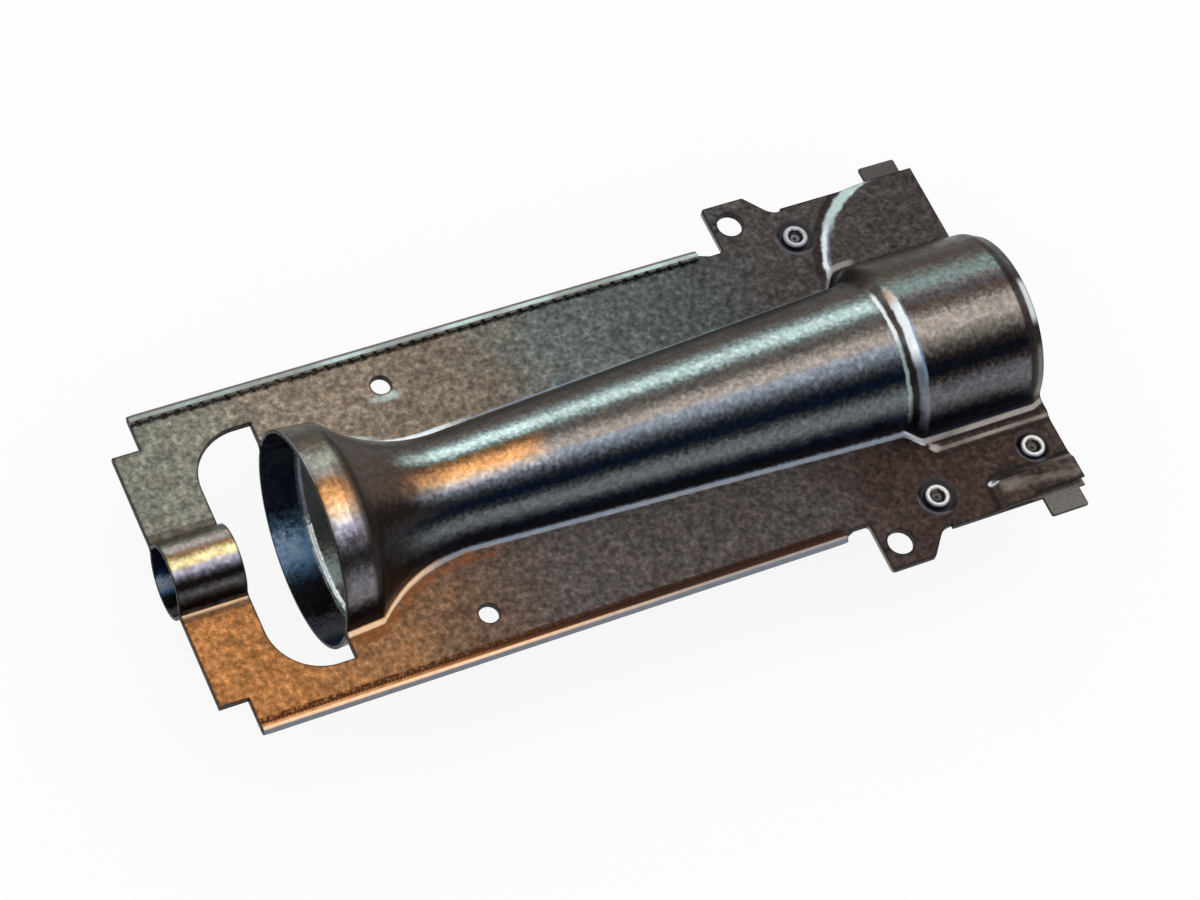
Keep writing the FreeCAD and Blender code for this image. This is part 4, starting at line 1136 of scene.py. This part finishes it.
def sheet_inside():
    """Inner face of the sheet: dark and bluish, with painted highlights and painted bluish reflections in
    the bell and the collar.
    """
    t = Tree("sheet_inside")
    coarse, fine = t.noise(1.7, 2, shift=5), t.noise(0.75, 1, shift=3)
    around = t.add(t.value("around"), t.times(coarse, 3), t.times(fine, 3))
    mouth, bell = t.add(t.x, -MOUTH), t.add(t.x, -BAND_END)
    # Painted bluish reflections and highlights round the mouth, and painted greenish ones deeper in
    mouth_tone = t.ramp(around, [
        (0, NAVY, 0.7), (44, NAVY, 1.2), (54, SKY, 0.5), (62, SKY, 1.7), (72, SKY, 1.7), (80, SKY, 0.5),
        (87, NAVY), (94, DARK_BROWN, 0.7), (108, DARK_BROWN, 0.5), (118, LILAC, 0.5), (128, LEAD, 1.8), (138, NAVY, 2.4),
        (180, INK),
    ])
    deep_tone = t.ramp(around, [
        (0, DARK_BROWN, 0.5), (40, MOSS, 0.15), (62, MOSS, 0.25), (74, SAGE, 0.4), (84, CYAN, 0.6),
        (92, CYAN, 0.6), (100, SAGE, 0.5), (110, DARK_BROWN, 0.7), (180, INK),
    ])
    crease = t.add(bell, t.times(coarse, 0.1))
    # Painted highlights: along the crease inside the bell, in specks in the mouth and in the collar
    bright_crease = t.times(t.hump(crease, -0.6, 0.5, 0.3), t.hump(around, 60, 106, 8))
    patch = t.times(t.hump(around, 62, 69, 9), t.hump(mouth, 1.5, 4.5, 2.5))
    tone = t.lines(t.mix(t.rise(bell, -0.8, 0.2), mouth_tone, deep_tone), [
        (FROST, patch, t.rise(coarse, -1.4, 0.6), 0.4),
        (FROST, t.hump(around, 60, 68, 9), t.rise(t.x, 13, 8), 0.55),
        (STEEL, t.hump(crease, -0.6, 0.3, 0.4), t.hump(around, 8, 118, 12), 0.6),
        (FROST, bright_crease, 0.98),
        (CYAN, t.hump(crease, -0.8, 0.0, 0.4), t.hump(around, 112, 130, 8), 0.6),
    ])
    flange = t.mix(t.rise(t.y, 20, -20), SLATE, STONE)
    tone = t.mix(t.rise(t.value("beside"), -1, 0.5), tone, flange)
    tone = t.scaled(tone, t.add(1, t.times(fine, 0.25)))
    t.bump(fine, 0.012)
    metal = t.add(0.45, t.times(bright_crease, 0.5), t.times(patch, -0.3))
    return t.finish(tone, t.rise(coarse, -1, 1, 0.2, 0.36), metal)


def cut_edge():
    """Sheared edge of the sheet, mottled in dark brown and grey."""
    t = Tree("cut_edge")
    fine = t.noise(0.5, 2)
    tone = t.mix(t.rise(fine, -0.4, 1, 0, 0.6), DARK_BROWN, LEAD)
    tone = t.lines(tone, [
        # Painted highlights on the ends of the ears that face -X, and on the folded leg's edge on the far
        # side
        (SAND, t.rise(t.facing_x, -0.5, -0.8), t.hump(t.x, 146, 152, 2), t.hump(t.z, -0.7, 0.3, 0.2), 0.7),
        (SAGE, t.rise(t.value("hem"), 4.2, 4.6), t.rise(t.y, -1, 1), 0.6),
    ])
    t.bump(fine, 0.03)
    return t.finish(tone, t.rise(fine, -1, 1, 0.35, 0.6))


def rivet_metal():
    """Plated rivet: painted highlight on its rolled crest, painted shade on the flanks and round its bore,
    grey at the bottom of the bore.
    """
    t = Tree("rivet_metal")
    fine = t.noise(0.6, 2)
    ring = t.add(t.value("ring"), t.times(fine, 0.12))
    # Painted highlight on the rolled crest, painted shade on its flanks and round the bore
    tone = t.ramp(ring, [
        (0.4, DARK_BROWN), (0.55, STONE, 0.7), (0.95, STONE), (1.15, DARK_BROWN), (1.35, LEAD, 0.5), (1.5, STONE, 0.8),
        (1.7, SAND, 0.8), (1.9, SAND, 1.4), (2.25, FROST, 0.95), (2.55, SAND, 1.3), (2.8, LILAC, 0.6),
        (3.05, DARK_BROWN),
    ])
    # Painted shade: the far rivet gets dimmer lilac tones than the near ones
    far_bore = t.mix(t.hump(ring, 0.6, 0.9, 0.2), INK, LILAC)
    far_tone = t.mix(t.rise(ring, 1.5, 1.9), far_bore, LILAC)
    tone = t.mix(t.rise(t.y, 20, 25, 0, 0.6), tone, far_tone)
    # Painted shade on the bore's wall that faces -X
    bore_shade = t.times(t.hump(ring, 1.2, 1.5, 0.3), t.rise(t.facing_x, -0.1, -0.5))
    tone = t.mix(bore_shade, tone, INK)
    tone = t.scaled(tone, t.add(1, t.times(fine, 0.25)))
    t.bump(fine, 0.02)
    return t.finish(tone, t.rise(fine, -1, 1, 0.25, 0.45), t.rise(ring, 1.2, 1.6, 0.3, 1.0))


def insert_metal():
    """Satin stainless strip, straw and blue towards the flame."""
    t = Tree("insert_metal")
    fine = t.noise(0.6, 2, (4, 1, 1))
    heat = t.add(t.x, t.times(t.noise(3, 2), 1.2))
    tone = t.ramp(heat, [
        (180, STONE), (188, SAND), (193, TAUPE), (196, CLAY, 0.9), (198, LILAC, 0.7), (200, SKY, 0.5),
    ])
    tone = t.scaled(tone, t.add(1, t.times(fine, 0.25)))
    t.bump(fine, 0.02)
    return t.finish(tone, t.rise(fine, -1, 1, 0.3, 0.45))


sheet_materials = [sheet_outside(), sheet_inside(), cut_edge()]
for piece in (upper_piece, lower_piece):
    for material in sheet_materials:
        piece.data.materials.append(material)
rivet_look, insert_look = rivet_metal(), insert_metal()
for piece, _ in rivet_pieces:
    piece.data.materials.append(rivet_look)
for node in ("retention_band", "retention_ribbon", "retention_core"):
    mesh = bpy.data.objects[node].data
    mesh.materials.clear()
    mesh.materials.append(insert_look)

# Floor, light and camera
floor_mesh = bpy.data.meshes.new("floor")
floor_corners = [(x, y, FLOOR_HEIGHT) for x, y in ((-3, -3), (3, -3), (3, 3), (-3, 3))]
floor_mesh.from_pydata(floor_corners, [], [(0, 1, 2, 3)])
floor = bpy.data.objects.new("floor", floor_mesh)
bpy.context.scene.collection.objects.link(floor)


def seen_rays(tree):
    """1 for rays from the camera and for reflections, 0 for the rest."""
    path = add_node(tree, "LightPath")
    total = path.outputs["Is Camera Ray"]
    for name in ("Is Glossy Ray", "Is Transmission Ray"):
        total = add_node(tree, "Math", total, path.outputs[name], operation="MAXIMUM").outputs[0]
    return total


def paper_floor():
    """White paper that shows as white, with only part of the shadow on it."""
    paper = bpy.data.materials.new("paper")
    paper.use_nodes = True
    tree = paper.node_tree
    shader = tree.nodes["Principled BSDF"]
    shader.inputs["Base Color"].default_value = (0.9, 0.9, 0.9, 1)
    shader.inputs["Roughness"].default_value = 0.9
    share = add_node(tree, "Math", seen_rays(tree), FLOOR_GLOW, operation="MULTIPLY")
    glow = add_node(tree, "Emission")
    glow.inputs["Strength"].default_value = PAPER_WHITE
    both = add_node(tree, "MixShader", share.outputs[0], shader.outputs[0], glow.outputs[0])
    fill(tree, tree.nodes["Material Output"].inputs["Surface"], both.outputs[0])
    return paper


def studio_world():
    """Even light, seen as white."""
    world = bpy.data.worlds.new("studio")
    world.use_nodes = True
    tree = world.node_tree
    light = tree.nodes["Background"]
    strength = add_node(tree, "MapRange", seen_rays(tree), 0.0, 1.0, 0.7, 1.0)
    fill(tree, light.inputs["Color"], (1, 1, 1, 1))
    fill(tree, light.inputs["Strength"], strength.outputs["Result"])
    return world


floor_mesh.materials.append(paper_floor())
bpy.context.scene.world = studio_world()

# Soft boxes: direction from the part, size in metres, brightness, tint
SOFT_BOXES = {
    "back_box": ((0.345, 0.737, 0.579), 0.45, 1.0, (0.85, 0.95, 1.0)),
    "top_box": ((0.25, 0.1, 0.96), 0.35, 0.7, (1.0, 0.92, 0.84)),
}
MIDDLE = Vector((0.1, 0, 0))
for name, (direction, size, brightness, tint) in SOFT_BOXES.items():
    lamp_data = bpy.data.lights.new(name, "AREA")
    lamp_data.size = size
    lamp_data.energy = brightness * math.pi * size ** 2
    lamp_data.color = tint
    lamp = bpy.data.objects.new(name, lamp_data)
    lamp.location = MIDDLE + Vector(direction).normalized() * 1.1
    lamp.rotation_euler = Vector(direction).to_track_quat("Z", "Y").to_euler()
    bpy.context.scene.collection.objects.link(lamp)

# The camera's place, its directions and its lens
CAMERA_PLACE = Vector((-0.1577712, -0.3072871, 0.6345568))
LENS = 103.04
RIGHT = Vector((0.89641329, -0.41044619, 0.16726369))
DOWN = Vector((-0.27856995, -0.81527719, -0.50766317))
AHEAD = Vector((0.34473468, 0.40848137, -0.84516328))
camera_data = bpy.data.cameras.new("camera")
camera_data.sensor_width = 36
camera_data.lens = LENS
camera_data.clip_start = 0.05
camera_data.clip_end = 20
camera = bpy.data.objects.new("camera", camera_data)
turn = Matrix((RIGHT, -DOWN, -AHEAD)).transposed()
camera.matrix_world = Matrix.Translation(CAMERA_PLACE) @ turn.to_4x4()
bpy.context.scene.collection.objects.link(camera)
bpy.context.scene.camera = camera

bpy.context.scene.view_settings.view_transform = "Standard"
